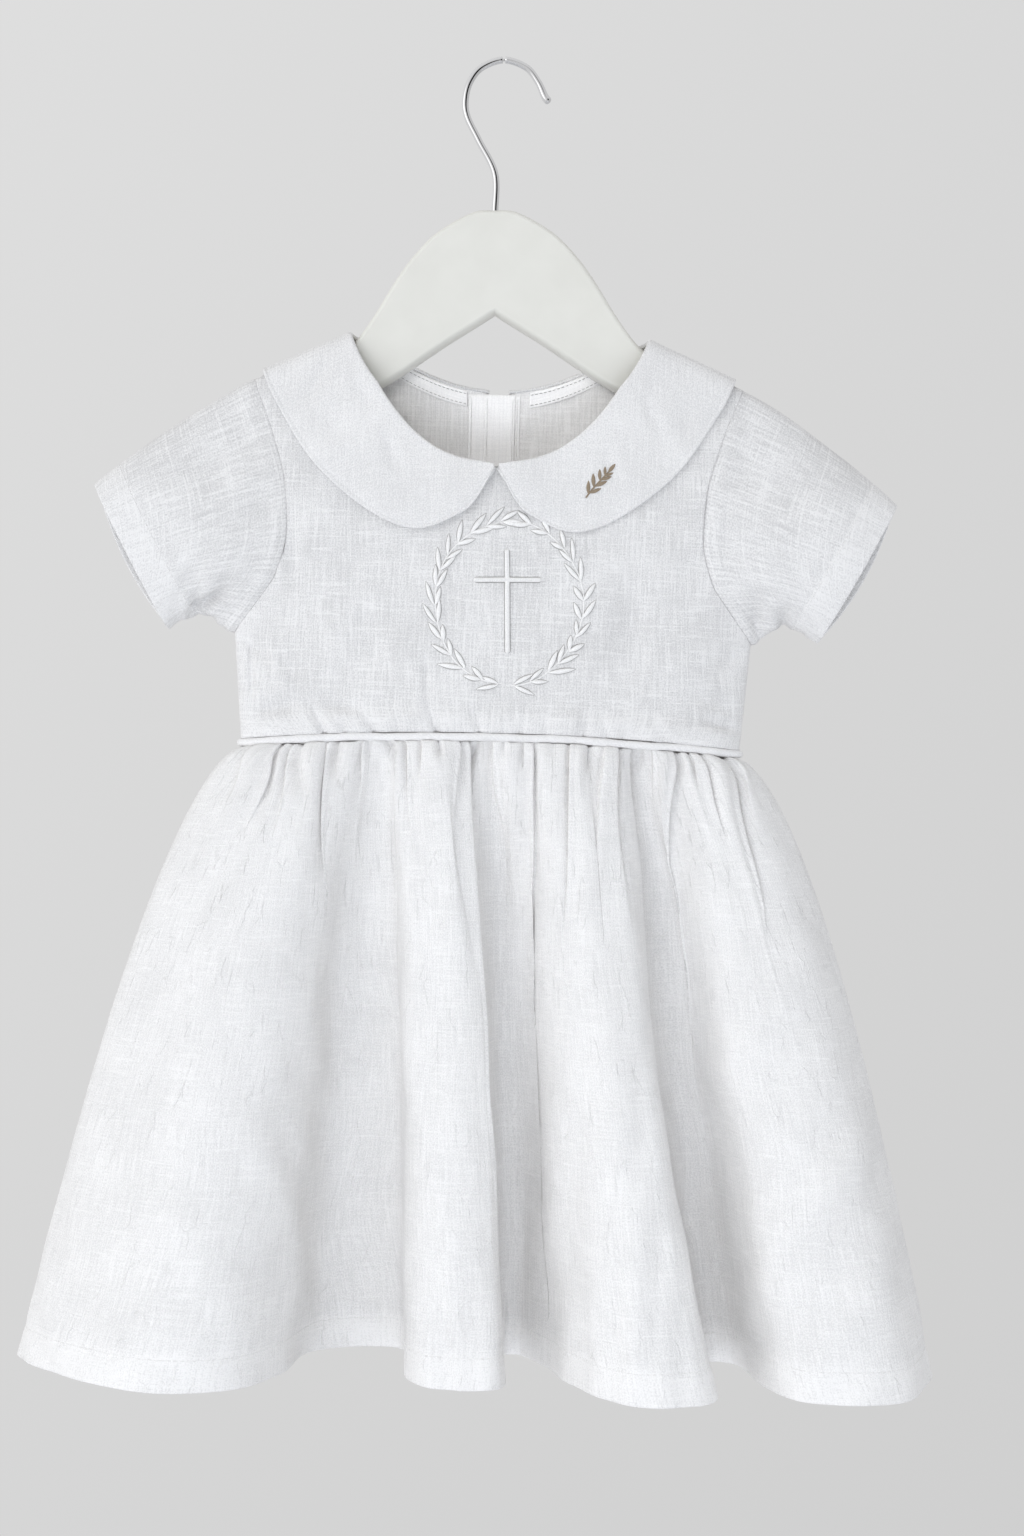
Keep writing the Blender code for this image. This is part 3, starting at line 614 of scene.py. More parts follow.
def crease_relief(creases, a, b):
    """Height of the cloth over its smooth form: each crease is a trough with raised sides."""
    relief = np.zeros(np.broadcast(a, b).shape)
    for a0, b0, a1, b1, depth, half_width, anchored in creases:
        run_a, run_b = a1 - a0, b1 - b0
        length = math.hypot(run_a, run_b)
        t = ((a - a0) * run_a + (b - b0) * run_b) / length ** 2
        off = ((a - a0) * run_b - (b - b0) * run_a) / length
        inside = np.clip(t, 0.0, 1.0)
        beyond = (t - inside) * length
        q = (off ** 2 + beyond ** 2) / (half_width * (1.0 + 0.5 * inside)) ** 2
        fade = anchored * np.cos(0.5 * np.pi * inside) + (1 - anchored) * np.sin(np.pi * inside)
        relief = relief - depth * fade * (1.0 - 0.45 * q) * np.exp(-0.7 * q)
    return relief


def bodice_point(side, x, z, lift=0.0):
    """Cloth of the bodice: side is -1 on the front and 1 on the back."""
    def place(x, z):
        creases = FRONT_CREASES if side < 0 else BACK_CREASES
        relief = CREASE_DEPTH * crease_relief(creases, x, z)
        relief = relief + BODICE_CRUMPLE * crumple(x, z, 11 + side, 34.0)
        swell = WAIST_SWELL * (1.0 + 0.45 * crumple(x, 0.0, 14 + side, 26.0))
        relief = relief + swell * np.exp(-((z - waist_z(x) - SWELL_ABOVE) / SWELL_TALL) ** 2)
        in_from_side = np.maximum(body_half_width(z) - np.abs(x), 0.0)
        edge = np.minimum(in_from_side / SIDE_CALM, 1.0)
        seam = SEAM_HALF * (1.0 - SIDE_SEAM_CLOSED * np.exp(-(in_from_side / 0.6) ** 2))
        y = side * (body_depth(x, z) + seam + relief * edge)
        return stacked(x, y, z)
    if not np.any(lift):
        return place(x, z)
    step = 0.4
    across = place(x + step, z) - place(x - step, z)
    up = place(x, z + step) - place(x, z - step)
    out = unit(np.cross(across, up)) * -side
    return place(x, z) + out * np.asarray(lift)[..., None]


def skirt_form(side, x, level):
    """Skirt's smooth folds: x at the waist, level 0 at the waist seam and 1 at the hem."""
    folds = SKIRT_FRONT_FOLDS if side < 0 else SKIRT_BACK_FOLDS
    hem_x = table_values(folds, 1, x, flowing=True)
    hem_y = table_values(folds, 2, x, flowing=True) + side * SEAM_HALF
    bow = table_values(folds, 3, x, flowing=True)
    top_z = waist_z(x) - PIPING_RADIUS - SKIRT_DROP
    top_y = side * (body_depth(x, top_z) + SEAM_HALF)
    place_x = x + (hem_x - x) * level ** bow
    place_y = top_y + (hem_y - top_y) * level ** FOLD_DEPTH_BOW
    place_z = top_z - level * (top_z - HEM_Z)
    return stacked(place_x, place_y, place_z)


def crease_drifts(gathers, columns, down):
    """Sideways shift of each column at a length below the waist, so that it follows the creases.

    Past a crease's end its shift dies away, and the cloth between creases is shared out evenly.
    """
    places, drifts = [-WAIST_X], [0.0]
    for place, length, bend, bend_drift, end_drift, *_ in gathers:
        run = ((0.0, 0.0), (bend, bend_drift), (length, end_drift))
        drift = table_values(run, 1, np.array(min(down, length)), flowing=True)
        past = max(down - length, 0.0) / (15.0 + length)
        places.append(place)
        drifts.append(float(drift) * math.exp(-past ** 2))
    return np.interp(columns, places + [WAIST_X], drifts + [0.0])


def gather_relief(gathers, swells, columns, down):
    """What the gathers do to the cloth: a sideways move over its form, and a height."""
    opened = np.minimum(GATHER_STITCHED + down / GATHER_OPEN, 1.0)
    move = np.zeros(np.broadcast(columns, down).shape)
    rise = np.broadcast_to(GATHER_PUFF * np.exp(-down / PUFF_LONG), move.shape).copy()
    for place, length, _, _, _, fold, top, trough, half in gathers:
        fade = 1.0 - np.clip(down / length, 0.0, 1.0) ** 3
        off = columns - place
        over = off / FOLD_HALF
        move -= FOLD_OVERLAP * fold * fade * off * np.exp(-over ** 2)
        rise -= top * FOLD_RISE * fold * fade * over * np.exp(0.5 - 0.5 * over ** 2)
        beside = (off - 0.35 * top * half) / (half * (0.9 + 0.9 * down / length))
        pinch = GATHER_DEPTH * (0.25 + 0.75 * np.exp(-down / PINCH_LONG))
        rise -= trough * pinch * fade * np.exp(-np.sqrt(beside ** 2 + 0.02) ** 1.2)
    for place, half, height, length in swells:
        fade = np.exp(-(down / length) ** 2) * np.minimum(0.6 + down / 30.0, 1.0)
        rise += height * fade * np.exp(-((columns - place) / (half + 0.02 * down)) ** 2)
    edge = side_calm(columns, GATHER_CALM)
    return move * opened * edge, rise * opened * edge


def skirt_cloth(side, columns, levels):
    """Cloth of the skirt over its columns and rows, and its columns' places over the form."""
    gathers, swells = (FRONT_GATHERS, FRONT_SWELLS) if side < 0 else (BACK_GATHERS, BACK_SWELLS)
    down = levels * SKIRT_LONG
    drifts = np.array([crease_drifts(gathers, columns, row) for row in down])
    gaps = np.abs(down[:, None] - down[None, :])
    weights = np.exp(-(gaps / DRIFT_BLEND) ** 2) * np.gradient(down)[None, :]
    drifts = (weights / weights.sum(axis=1, keepdims=True)) @ drifts
    spread = np.maximum.accumulate(columns[None, :] + drifts, axis=1)
    down, level = down[:, None], levels[:, None]
    move, rise = gather_relief(gathers, swells, columns[None, :], down)
    edge = side_calm(spread, SKIRT_CALM)
    sway = np.minimum(down / 25.0, 1.0) * crumple(spread, 0.5 * down, 31 + side, 46.0)
    rise = rise + edge * (SKIRT_CRUMPLE + HEM_CRUMPLE * level) * crumple(
        spread * (1.0 + 2.2 * level), 0.4 * down, 23 + side, 34.0)
    x = spread + move + SKIRT_SWAY * edge * sway
    step = 0.6
    across = skirt_form(side, x + step, level) - skirt_form(side, x - step, level)
    low = skirt_form(side, x, np.minimum(level + 0.01, 1.0))
    high = skirt_form(side, x, np.maximum(level - 0.01, 0.0))
    out = unit(np.cross(across, high - low)) * -side
    return skirt_form(side, x, level) + out * rise[..., None], spread


def armhole_edge(side):
    """Armhole seam on one side of the body, and the share of its length at each point."""
    armhole = ARMHOLE_FRONT if side < 0 else ARMHOLE_BACK
    drop = np.concatenate((np.linspace(0.0, 6.0, 25)[:-1], np.linspace(6.0, ARMHOLE_DROP, 120)))
    x = table_values(armhole, 1, drop)
    z = shoulder_z(x) - drop
    edge = stacked(x + 0.15, side * body_depth(x, z), z)
    lengths = path_lengths(edge)
    return edge, lengths / lengths[-1]


def sleeve_point(sign, round_, share):
    """Cloth of a sleeve: round_ 0 at the shoulder, 1 at the underarm, 2 at the shoulder again."""
    front = round_ <= 1.0
    turned = np.where(front, round_, 2.0 - round_)
    side = np.where(front, -1.0, 1.0)
    seams = []
    for each in (-1, 1):
        edge, shares = armhole_edge(each)
        seams.append(between(turned, shares, edge))
    seam = np.where(front[..., None], seams[0], seams[1])
    top, bottom = np.array(CUFF_TOP), np.array(CUFF_BOTTOM)
    middle = 0.5 * (top + bottom)
    upward = top - middle
    up = upward / np.linalg.norm(upward)
    outward = np.array((up[1], -up[0]))
    turn = np.pi * turned
    cuff_x = middle[0] + upward[0] * np.cos(turn)
    cuff_z = middle[1] + upward[1] * np.cos(turn)
    cuff = stacked(cuff_x, CUFF_HALF_DEPTH * side * np.sin(turn), cuff_z)
    place = seam + (cuff - seam) * share[..., None]
    bow = 4.0 * share * (1.0 - share)
    rise = bow * (np.maximum(np.cos(turn), 0.0) * SLEEVE_TOP_BOW
                  + np.maximum(-np.cos(turn), 0.0) * SLEEVE_UNDER_BOW)
    hang_low = np.where(side > 0, CUFF_BACK_REACH * np.sin(turn) ** 2 * share, 0.0)
    place[..., 0] += up[0] * rise + outward[0] * hang_low
    place[..., 2] += up[1] * rise + outward[1] * hang_low
    place[..., 1] += side * bow * np.sin(turn) * SLEEVE_FRONT_BOW
    place[..., 0] *= sign
    return place


# Meshes

STITCH_SUNK = 0.25  # share of a stitch's height that lies in the cloth


def hung(points):
    """Points of the gown's own frame, in millimetres, as points of the scene, in metres."""
    x, y, z = np.moveaxis(np.asarray(points, float), -1, 0)
    cosine, sine = math.cos(LEAN), math.sin(LEAN)
    turned = stacked(x * cosine + z * sine, y, z * cosine - x * sine)
    return (turned + NECK_POINT) * MM


def grid_normals(points, ring):
    """Unit normals of a grid of points."""
    if ring:
        wrapped = np.concatenate((points[:, -1:], points, points[:, :1]), axis=1)
        along_row = np.gradient(wrapped, axis=1)[:, 1:-1]
    else:
        along_row = np.gradient(points, axis=1)
    return unit(np.cross(along_row, np.gradient(points, axis=0)))


def facing_out(points, inside, ring=False):
    """Unit normals of a grid of points that look away from the point `inside`."""
    normals = grid_normals(points, ring)
    turned = np.sum(normals * (points - np.array(inside)))
    return normals if turned > 0.0 else -normals


def turn_in(points, flat, inside, ends, ring=False):
    """The grid with the named ends (top, bottom, left, right) turned in, as at a seam."""
    for end in ends:
        normals = facing_out(points, inside, ring)
        axis = 0 if end in ("top", "bottom") else 1
        edge, near = (0, 1) if end in ("top", "left") else (-1, -2)
        last, next_one = points.take(edge, axis), points.take(near, axis)
        away = unit(last - next_one)
        moved = last + away * TURNED_OVER - normals.take(edge, axis) * TURNED_IN
        beyond = 2.0 * flat.take(edge, axis) - flat.take(near, axis)
        moved, beyond = np.expand_dims(moved, axis), np.expand_dims(beyond, axis)
        first = edge == 0
        points = np.concatenate((moved, points) if first else (points, moved), axis=axis)
        flat = np.concatenate((beyond, flat) if first else (flat, beyond), axis=axis)
    return points, flat


def row_lengths(points):
    """Length along each row up to each of its points."""
    steps = np.linalg.norm(np.diff(points, axis=1), axis=2)
    return np.concatenate((np.zeros((len(points), 1)), np.cumsum(steps, axis=1)), axis=1)


def add_piece(name, mesh, material, replaced=()):
    """The mesh as a piece of the scene, on the one body, in place of the named CAD nodes."""
    mesh.materials.append(material)
    mesh.shade_smooth()
    piece = bpy.data.objects.new(name, mesh)
    bpy.context.scene.collection.objects.link(piece)
    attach(piece, "root")
    if replaced:
        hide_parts(*replaced)
    return piece


def reworked(mesh, join=0.0):
    """The mesh with the places that lie within `join` joined, or else all its faces turned out."""
    body = bmesh.new()
    body.from_mesh(mesh)
    if join > 0.0:
        bmesh.ops.remove_doubles(body, verts=body.verts, dist=join)
    else:
        bmesh.ops.recalc_face_normals(body, faces=body.faces)
    body.to_mesh(mesh)
    body.free()
    return mesh


def cloth_mesh(name, points, flat, inside, ring=False, split=None, doubled=0.0):
    """Mesh of a grid in the gown's frame. flat is the cloth's own plane, in millimetres.

    A ring's flat has one more column than its points. `split` is a column with no faces to the
    next one, where points that coincide are joined. `doubled` is 1 where the cloth is double.
    """
    rows, columns = points.shape[:2]
    out = grid_normals(points, ring)
    outward = np.sum(out * (points - np.array(inside))) > 0.0
    faces, corners = [], []
    for r in range(rows - 1):
        for c in range(columns if ring else columns - 1):
            if c == split:
                continue
            square = ((r, c), (r, c + 1), (r + 1, c + 1), (r + 1, c))
            if not outward:
                square = square[::-1]
            faces.append([i * columns + j % columns for i, j in square])
            corners += square
    mesh = bpy.data.meshes.new(name)
    mesh.from_pydata(hung(points).reshape(-1, 3).tolist(), [], faces)
    layer = mesh.uv_layers.new(name="cloth")
    picked = np.array(corners)
    layer.data.foreach_set("uv", (flat[picked[:, 0], picked[:, 1]] * MM).ravel())
    spread = mesh.attributes.new("doubled", "FLOAT", "POINT")
    amount = np.broadcast_to(doubled, (rows, columns)).astype(np.float32)
    spread.data.foreach_set("value", amount.ravel())
    return mesh if split is None else reworked(mesh, 1e-6)


def closed_mesh(name, grids):
    """One mesh of shapes in metres, each a grid of rings that is closed at both its ends."""
    places, faces = [], []
    for rings in grids:
        start = len(places)
        rows, turns = rings.shape[:2]
        places += rings.reshape(-1, 3).tolist()
        for r in range(rows - 1):
            for c in range(turns):
                here, after = start + r * turns + c, start + r * turns + (c + 1) % turns
                faces.append((here, here + turns, after + turns, after))
        faces.append([start + c for c in range(turns)])
        faces.append([start + (rows - 1) * turns + c for c in reversed(range(turns))])
    mesh = bpy.data.meshes.new(name)
    mesh.from_pydata(places, [], faces)
    return reworked(mesh)


def add_cloth(name, points, flat, inside, material, wall, slot_name="linen", **grid):
    """Cloth of the CAD node `name`: a shell whose outer face has these points."""
    mesh = cloth_mesh(f"{name}_cloth", points, flat, inside, **grid)
    piece = add_piece(f"{name}_cloth", mesh, material, (name,))
    solid = piece.modifiers.new("thickness", "SOLIDIFY")
    solid.thickness = wall * MM
    solid.offset = -1.0
    return piece


def add_tubes(name, paths, radius, material, sides=5, lean=True):
    """One mesh of round threads or wires, each along its own path in millimetres."""
    turn = math.tau * np.arange(sides)[:, None] / sides
    tubes = []
    for path in paths:
        path = hung(path) if lean else np.asarray(path) * MM
        ahead = unit(np.gradient(path, axis=0))
        guide = (0.0, 0.0, 1.0) if abs(ahead[0][2]) < 0.8 else (1.0, 0.0, 0.0)
        across = unit(np.cross(ahead, guide))[:, None]
        up = np.cross(across[:, 0], ahead)[:, None]
        reach = np.broadcast_to(radius, len(path))[:, None, None] * MM
        tubes.append(path[:, None] + (across * np.cos(turn) + up * np.sin(turn)) * reach)
    return add_piece(name, closed_mesh(name, tubes), material)


def stitch_paths(line, normals, pitch, length, rise):
    """Short threads along a line of points on the cloth, as a machine sews them."""
    distances = path_lengths(line)
    count = int(distances[-1] / pitch)
    shape = np.linspace(-0.5, 0.5, 5)
    arch = np.sqrt(1.0 - (2.0 * shape) ** 2) - STITCH_SUNK
    paths = []
    for middle in (np.arange(count) + 0.5) * distances[-1] / count:
        at = middle + shape * length
        out = unit(between(middle, distances, normals))
        paths.append(between(at, distances, line) + out * (arch * rise)[:, None])
    return paths


# Materials

CRINKLE_WIDE = 0.07  # share of a crinkle's spacing
CRINKLES = (130.0, 62.0)  # per metre across and down
# The weave's noises: features per metre across and down, detail
WEAVE = {
    "warp": (1200.0, 60.0, 1.0),
    "weft": (70.0, 1150.0, 1.0),
    "grain": (1500.0, 1300.0, 0.0),
    "warp_slub": (620.0, 45.0, 1.0),
    "weft_slub": (42.0, 640.0, 1.0),
    "warp_band": (330.0, 26.0, 3.0),
    "weft_band": (24.0, 360.0, 3.0),
    "cloud": (36.0, 30.0, 4.0),
}


def set_inputs(tree, node, values):
    """Gives a node's inputs their values, each a constant or the socket that feeds it."""
    for key, value in values.items():
        if isinstance(value, bpy.types.NodeSocket):
            tree.links.new(value, node.inputs[key])
        else:
            node.inputs[key].default_value = value
    return node


def new_material(name, colour, values):
    material = bpy.data.materials.new(name)
    material.use_nodes = True
    tree = material.node_tree
    shader = tree.nodes["Principled BSDF"]
    set_inputs(tree, shader, {"Base Color": (*colour, 1.0), **values})
    return material, tree, shader


def streaks(tree, place, across, down, detail=2.0):
    """Noise with its own number of features per metre along each of the two directions."""
    stretch = tree.nodes.new("ShaderNodeMapping")
    set_inputs(tree, stretch, {"Vector": place, "Scale": (across, down, 1.0)})
    grain = tree.nodes.new("ShaderNodeTexNoise")
    grain.noise_dimensions = "2D"
    set_inputs(tree, grain, {"Vector": stretch.outputs["Vector"], "Scale": 1.0, "Detail": detail})
    return grain.outputs["Fac"]


def spots(tree, scale, detail=2.0):
    """Noise in the solid, with `scale` features per metre."""
    place = tree.nodes.new("ShaderNodeTexCoord")
    noise = tree.nodes.new("ShaderNodeTexNoise")
    set_inputs(tree, noise, {"Vector": place.outputs["Object"], "Scale": scale, "Detail": detail})
    return noise.outputs["Fac"]


def arithmetic(tree, kind, first, second):
    """Math node on two values, each a socket or a number."""
    node = tree.nodes.new("ShaderNodeMath")
    node.operation = kind
    return set_inputs(tree, node, {0: first, 1: second}).outputs["Value"]


def vector_arithmetic(tree, kind, first, second):
    node = tree.nodes.new("ShaderNodeVectorMath")
    node.operation = kind
    return set_inputs(tree, node, {0: first, 1: second}).outputs["Vector"]


def weighted(tree, parts):
    """Sum of the parts, each a value and its weight."""
    total = 0.0
    for value, weight in parts:
        total = arithmetic(tree, "ADD", arithmetic(tree, "MULTIPLY", value, weight), total)
    return total


def stretched(tree, value, low, high, first=0.0, last=1.0):
    """The value's range from low to high, as first to last."""
    node = tree.nodes.new("ShaderNodeMapRange")
    set_inputs(tree, node, {"Value": value, "From Min": low, "From Max": high,
                            "To Min": first, "To Max": last})
    return node.outputs["Result"]


def tint(tree, shader, amount, dark, light):
    """Gives the shader the colour that is `amount` of the way from dark to light."""
    mix = tree.nodes.new("ShaderNodeMix")
    mix.data_type = "RGBA"
    set_inputs(tree, mix, {"Factor": amount, "A": (*dark, 1.0), "B": (*light, 1.0)})
    tree.links.new(mix.outputs["Result"], shader.inputs["Base Color"])
    return mix.outputs["Result"]


def emboss(tree, shader, height, strength, distance):
    """Raises the shader's surface by a height of 0 to 1, over a distance in millimetres."""
    bump = tree.nodes.new("ShaderNodeBump")
    set_inputs(tree, bump, {"Height": height, "Strength": strength, "Distance": distance * MM})
    tree.links.new(bump.outputs["Normal"], shader.inputs["Normal"])
    return bump.outputs["Normal"]


def crinkles(tree, place, across, down):
    """Thin broken lines over the cloth, 1 along a crinkle and 0 elsewhere."""
    scaled = vector_arithmetic(tree, "MULTIPLY", place, (across, down, 1.0))
    bends = tree.nodes.new("ShaderNodeTexNoise")
    set_inputs(tree, bends, {"Vector": scaled, "Scale": 1.4})
    cells = tree.nodes.new("ShaderNodeTexVoronoi")
    cells.feature = "DISTANCE_TO_EDGE"
    cells.voronoi_dimensions = "2D"
    bent = vector_arithmetic(tree, "ADD", scaled, bends.outputs["Color"])
    set_inputs(tree, cells, {"Vector": bent, "Scale": 1.0})
    line = stretched(tree, cells.outputs["Distance"], CRINKLE_WIDE, 0.0)
    kept = stretched(tree, streaks(tree, place, 0.9 * across, 0.9 * down), 0.5, 0.62)
    return arithmetic(tree, "MULTIPLY", line, kept)


def linen(name, thin, full, slubs=1.0, bands=1.0, depth=0.22, through=0.0, grained=0.32,
          crinkled=0.0):
    """Plain-weave linen over the cloth's flat map: uneven threads, slubs and cloudy bands.

    `thin` is the colour between threads and where the weave is open, `full` the thread's own,
    `through` the share of the light that it lets pass, `depth` the weave's, in millimetres.
    """
    material, tree, shader = new_material(name, full, {
        "Roughness": 0.86, "Sheen Weight": 0.1, "Sheen Roughness": 0.45,
        "Specular IOR Level": 0.2})
    flat_map = tree.nodes.new("ShaderNodeUVMap")
    flat_map.uv_map = "cloth"
    place = flat_map.outputs["UV"]
    weave = {part: streaks(tree, place, *scale) for part, scale in WEAVE.items()}
    warp_slub = stretched(tree, weave["warp_slub"], 0.57, 0.70)
    weft_slub = stretched(tree, weave["weft_slub"], 0.58, 0.71)
    double = tree.nodes.new("ShaderNodeAttribute")
    double.attribute_name = "doubled"
    ordered = 1.0 - grained
    threads = weighted(tree, ((weave["warp"], 0.68 * ordered), (weave["weft"], 0.32 * ordered),
                              (weave["grain"], grained)))
    raised = weighted(tree, ((warp_slub, 0.55 * slubs), (weft_slub, 0.6 * slubs)))
    fullness = weighted(tree, (
        (threads, 3.2), (raised, 0.7), (weave["warp_band"], 0.4 * bands),
        (weave["weft_band"], 0.2 * bands), (weave["cloud"], 0.9), (double.outputs["Fac"], 0.4)))
    middle = 2.05 + 0.3 * bands
    amount = stretched(tree, fullness, middle - 0.55, middle + 0.65)
    colour = tint(tree, shader, amount, thin, full)
    lines = crinkles(tree, place, *CRINKLES)
    height = weighted(tree, ((threads, 1.0), (raised, 0.8), (lines, crinkled)))
    normal = emboss(tree, shader, height, 1.0, depth)
    if through > 0.0:
        sheer = tree.nodes.new("ShaderNodeBsdfTranslucent")
        set_inputs(tree, sheer, {"Color": colour, "Normal": normal})
        both = tree.nodes.new("ShaderNodeMixShader")
        set_inputs(tree, both, {0: through, 1: shader.outputs["BSDF"], 2: sheer.outputs["BSDF"]})
        tree.links.new(both.outputs["Shader"], tree.nodes["Material Output"].inputs["Surface"])
    return material


def thread_material(name, colour, shine=0.3):
    """Twisted embroidery thread: fine darker turns of the twist, and a soft shine."""
    material, tree, shader = new_material(name, colour, {
        "Roughness": 0.5, "Sheen Weight": shine, "Sheen Roughness": 0.3})
    grain = spots(tree, 2600.0, 1.0)
    dark = [0.86 * part for part in colour]
    tint(tree, shader, stretched(tree, grain, 0.35, 0.6), dark, colour)
    emboss(tree, shader, grain, 0.4, 0.08)
    return material


def lacquer():
    """Warm white satin paint on wood, with the faint waves of a brushed coat."""
    material, tree, shader = new_material("white_lacquer", (0.74, 0.73, 0.675), {
        "Roughness": 0.42, "Coat Weight": 0.15, "Coat Roughness": 0.25})
    wave = spots(tree, 60.0, 4.0)
    tint(tree, shader, stretched(tree, wave, 0.3, 0.7), (0.73, 0.72, 0.665), (0.76, 0.75, 0.695))
    set_inputs(tree, shader, {"Roughness": stretched(tree, wave, 0.0, 1.0, 0.36, 0.48)})
    emboss(tree, shader, wave, 0.15, 0.1)
    return material


def chrome():
    """Plated wire: bright, with the faintest drawing marks."""
    material, tree, shader = new_material("chrome", (0.80, 0.80, 0.81), {
        "Roughness": 0.08, "Metallic": 1.0})
    marks = stretched(tree, spots(tree, 900.0), 0.0, 1.0, 0.06, 0.10)
    set_inputs(tree, shader, {"Roughness": marks})
    return material


def pearl():
    """White button plastic with a faint cloudiness."""
    material, tree, shader = new_material("button_white", (0.88, 0.87, 0.84), {
        "Roughness": 0.3, "Coat Weight": 0.3})
    cloud = stretched(tree, spots(tree, 400.0), 0.3, 0.7)
    tint(tree, shader, cloud, (0.82, 0.81, 0.78), (0.91, 0.90, 0.88))
    return material


# Painted light and shade: these copies of the one linen differ in brightness by piece, the skirt's
# lighter where it faces up into the light, the bodice's, sleeves' and collar's darker, the back's
# lighter for its inside seen through the neck
CLOTH = linen("white_linen", (0.61, 0.602, 0.597), (0.82, 0.81, 0.80), bands=0.55, grained=0.45,
              crinkled=0.5)
BACK_CLOTH = linen("white_linen_back", (0.76, 0.75, 0.74), (0.93, 0.92, 0.91), through=0.25)
COLLAR_CLOTH = linen("collar_linen", (0.68, 0.672, 0.667), (0.835, 0.825, 0.815), 0.4, 0.2, 0.18,
                     grained=0.6, crinkled=0.7)
SKIRT_CLOTH = linen("white_linen_skirt", (0.72, 0.71, 0.70), (0.875, 0.863, 0.85), 0.7, 0.5,
                    grained=0.5, crinkled=1.0)
DOUBLED = linen("pressed_linen", (0.76, 0.75, 0.745), (0.87, 0.86, 0.85), 0.3, 0.4, 0.12)
WHITE_THREAD = thread_material("white_thread", (0.92, 0.91, 0.895))
# Painted shade: dark grey thread for the shadow along the satin's edges and in the facings' needle
# holes
PAINTED_SHADE = thread_material("painted_shade_thread", (0.46, 0.45, 0.435), 0.0)
TAUPE_THREAD = thread_material("taupe_thread", (0.30, 0.235, 0.165))
WOOD = lacquer()
CHROME = chrome()
BUTTON = pearl()


def sew(name, lines, pitch, length, rise, radius, material=WHITE_THREAD, sides=5):
    """Machine stitches along lines on the cloth, each with the directions out of the cloth."""
    paths = []
    for line, normals in lines:
        paths += stitch_paths(line, normals, pitch, length, rise)
    return add_tubes(f"{name}_stitches", paths, radius, material, sides=sides)


# Bodice: its front is one panel, made as two halves that join at the middle

PANEL_COLUMNS = 110
PANEL_ROWS = 84  # from the shoulder's ridge to the underarm
RIDGE_DROPS = (0.0, 0.1, 0.3, 0.6, 1.1, 1.8, 2.7, 3.9, 5.4)
RIDGE_END = 7.2
SIDE_ROWS = 54  # from the underarm to the waist
ALLOWANCE = 13.0
ALLOWANCE_SHOWS = 0.7  # how dense the doubled cloth looks through the single one


def panel_grid(sign, side, neck, armhole, centre_x):
    """Places of half a bodice panel and its flat map, from its inner edge to its side."""
    drops = np.concatenate((RIDGE_DROPS, np.linspace(RIDGE_END, ARMHOLE_DROP, PANEL_ROWS)))
    turns = np.sin(np.linspace(0.0, 0.5 * math.pi, PANEL_COLUMNS))
    even = np.linspace(0.0, 1.0, PANEL_COLUMNS)
    inner = np.maximum(neck_x(neck, drops), centre_x)[:, None]
    outer = table_values(armhole, 1, drops)[:, None]
    rounded = ((drops / ARMHOLE_DROP) ** 4)[:, None]
    x = inner + (outer - inner) * (even + (turns - even) * rounded)
    z = shoulder_z(x) - drops[:, None]
    shares = np.linspace(0.0, 1.0, SIDE_ROWS + 1)[1:, None]
    low_x = centre_x + (CHEST_X + (WAIST_X - CHEST_X) * shares - centre_x) * turns
    top = shoulder_z(low_x) - ARMHOLE_DROP
    low_z = top + (waist_z(low_x) + PIPING_RADIUS + SEAM_LINE - top) * shares
    x, z = sign * np.vstack((x, low_x)), np.vstack((z, low_z))
    points = bodice_point(side, x, z)
    points[-SIDE_ROWS:, -1, 1] = side * SEAM_HALF * (1.0 - SIDE_SEAM_CLOSED)
    across = sign * (np.abs(x[:, :1]) + row_lengths(points))
    return points, stacked(across, -z)


def seam_allowance(points):
    """How far a seam's allowance shows through: above the waist seam and along the sides."""
    x, z = points[..., 0], points[..., 2]
    above = z - waist_z(x) - PIPING_RADIUS
    aside = body_half_width(z) - np.abs(x)
    deep = ALLOWANCE + 2.0 * crumple(x, z, 18, 30.0) + 0.7 * crumple(x, z, 19, 7.0)
    return ALLOWANCE_SHOWS * np.clip((deep - np.minimum(above, 1.3 * aside)) / 3.0, 0.0, 1.0)


def make_bodice():
    middle = (0.0, 0.0, -80.0)
    left, left_flat = panel_grid(-1, -1, FRONT_NECK, ARMHOLE_FRONT, 0.0)
    right, right_flat = panel_grid(1, -1, FRONT_NECK, ARMHOLE_FRONT, 0.0)
    points = np.concatenate((left[:, ::-1], right), axis=1)
    flat = np.concatenate((left_flat[:, ::-1], right_flat), axis=1)
    points, flat = turn_in(points, flat, middle, ("left", "right", "top", "bottom"))
    front = add_cloth("bodice_front", points, flat, middle, CLOTH, SHELL, split=PANEL_COLUMNS,
                      doubled=seam_allowance(points))
    for name, sign in (("bodice_back_left", -1), ("bodice_back_right", 1)):
        points, flat = panel_grid(sign, 1, BACK_NECK, ARMHOLE_BACK, STAND_HALF - 2.0)
        inside = (sign * 60.0, 0.0, -80.0)
        points, flat = turn_in(points, flat, inside, ("right", "top", "bottom"))
        back = add_cloth(name, points, flat, inside, BACK_CLOTH, SHELL,
                         doubled=seam_allowance(points))


# Collar

COLLAR_STATIONS = 96
COLLAR_COLUMNS = 34
NECK_ROLL = 1.5
NECK_ROLL_STEPS = 9
# Collar's edge, pressed and turned: distance from the edge, change of height
COLLAR_EDGE = (
    (4.4, 0),
    (3.2, -0.03),
    (2.5, -0.14),
    (2.05, -0.3),
    (1.65, -0.2),
    (1.25, 0.02),
    (0.85, 0.1),
    (0.5, 0.03),
    (0.25, -0.15),
    (0.08, -0.4),
    (0, -0.75),
)
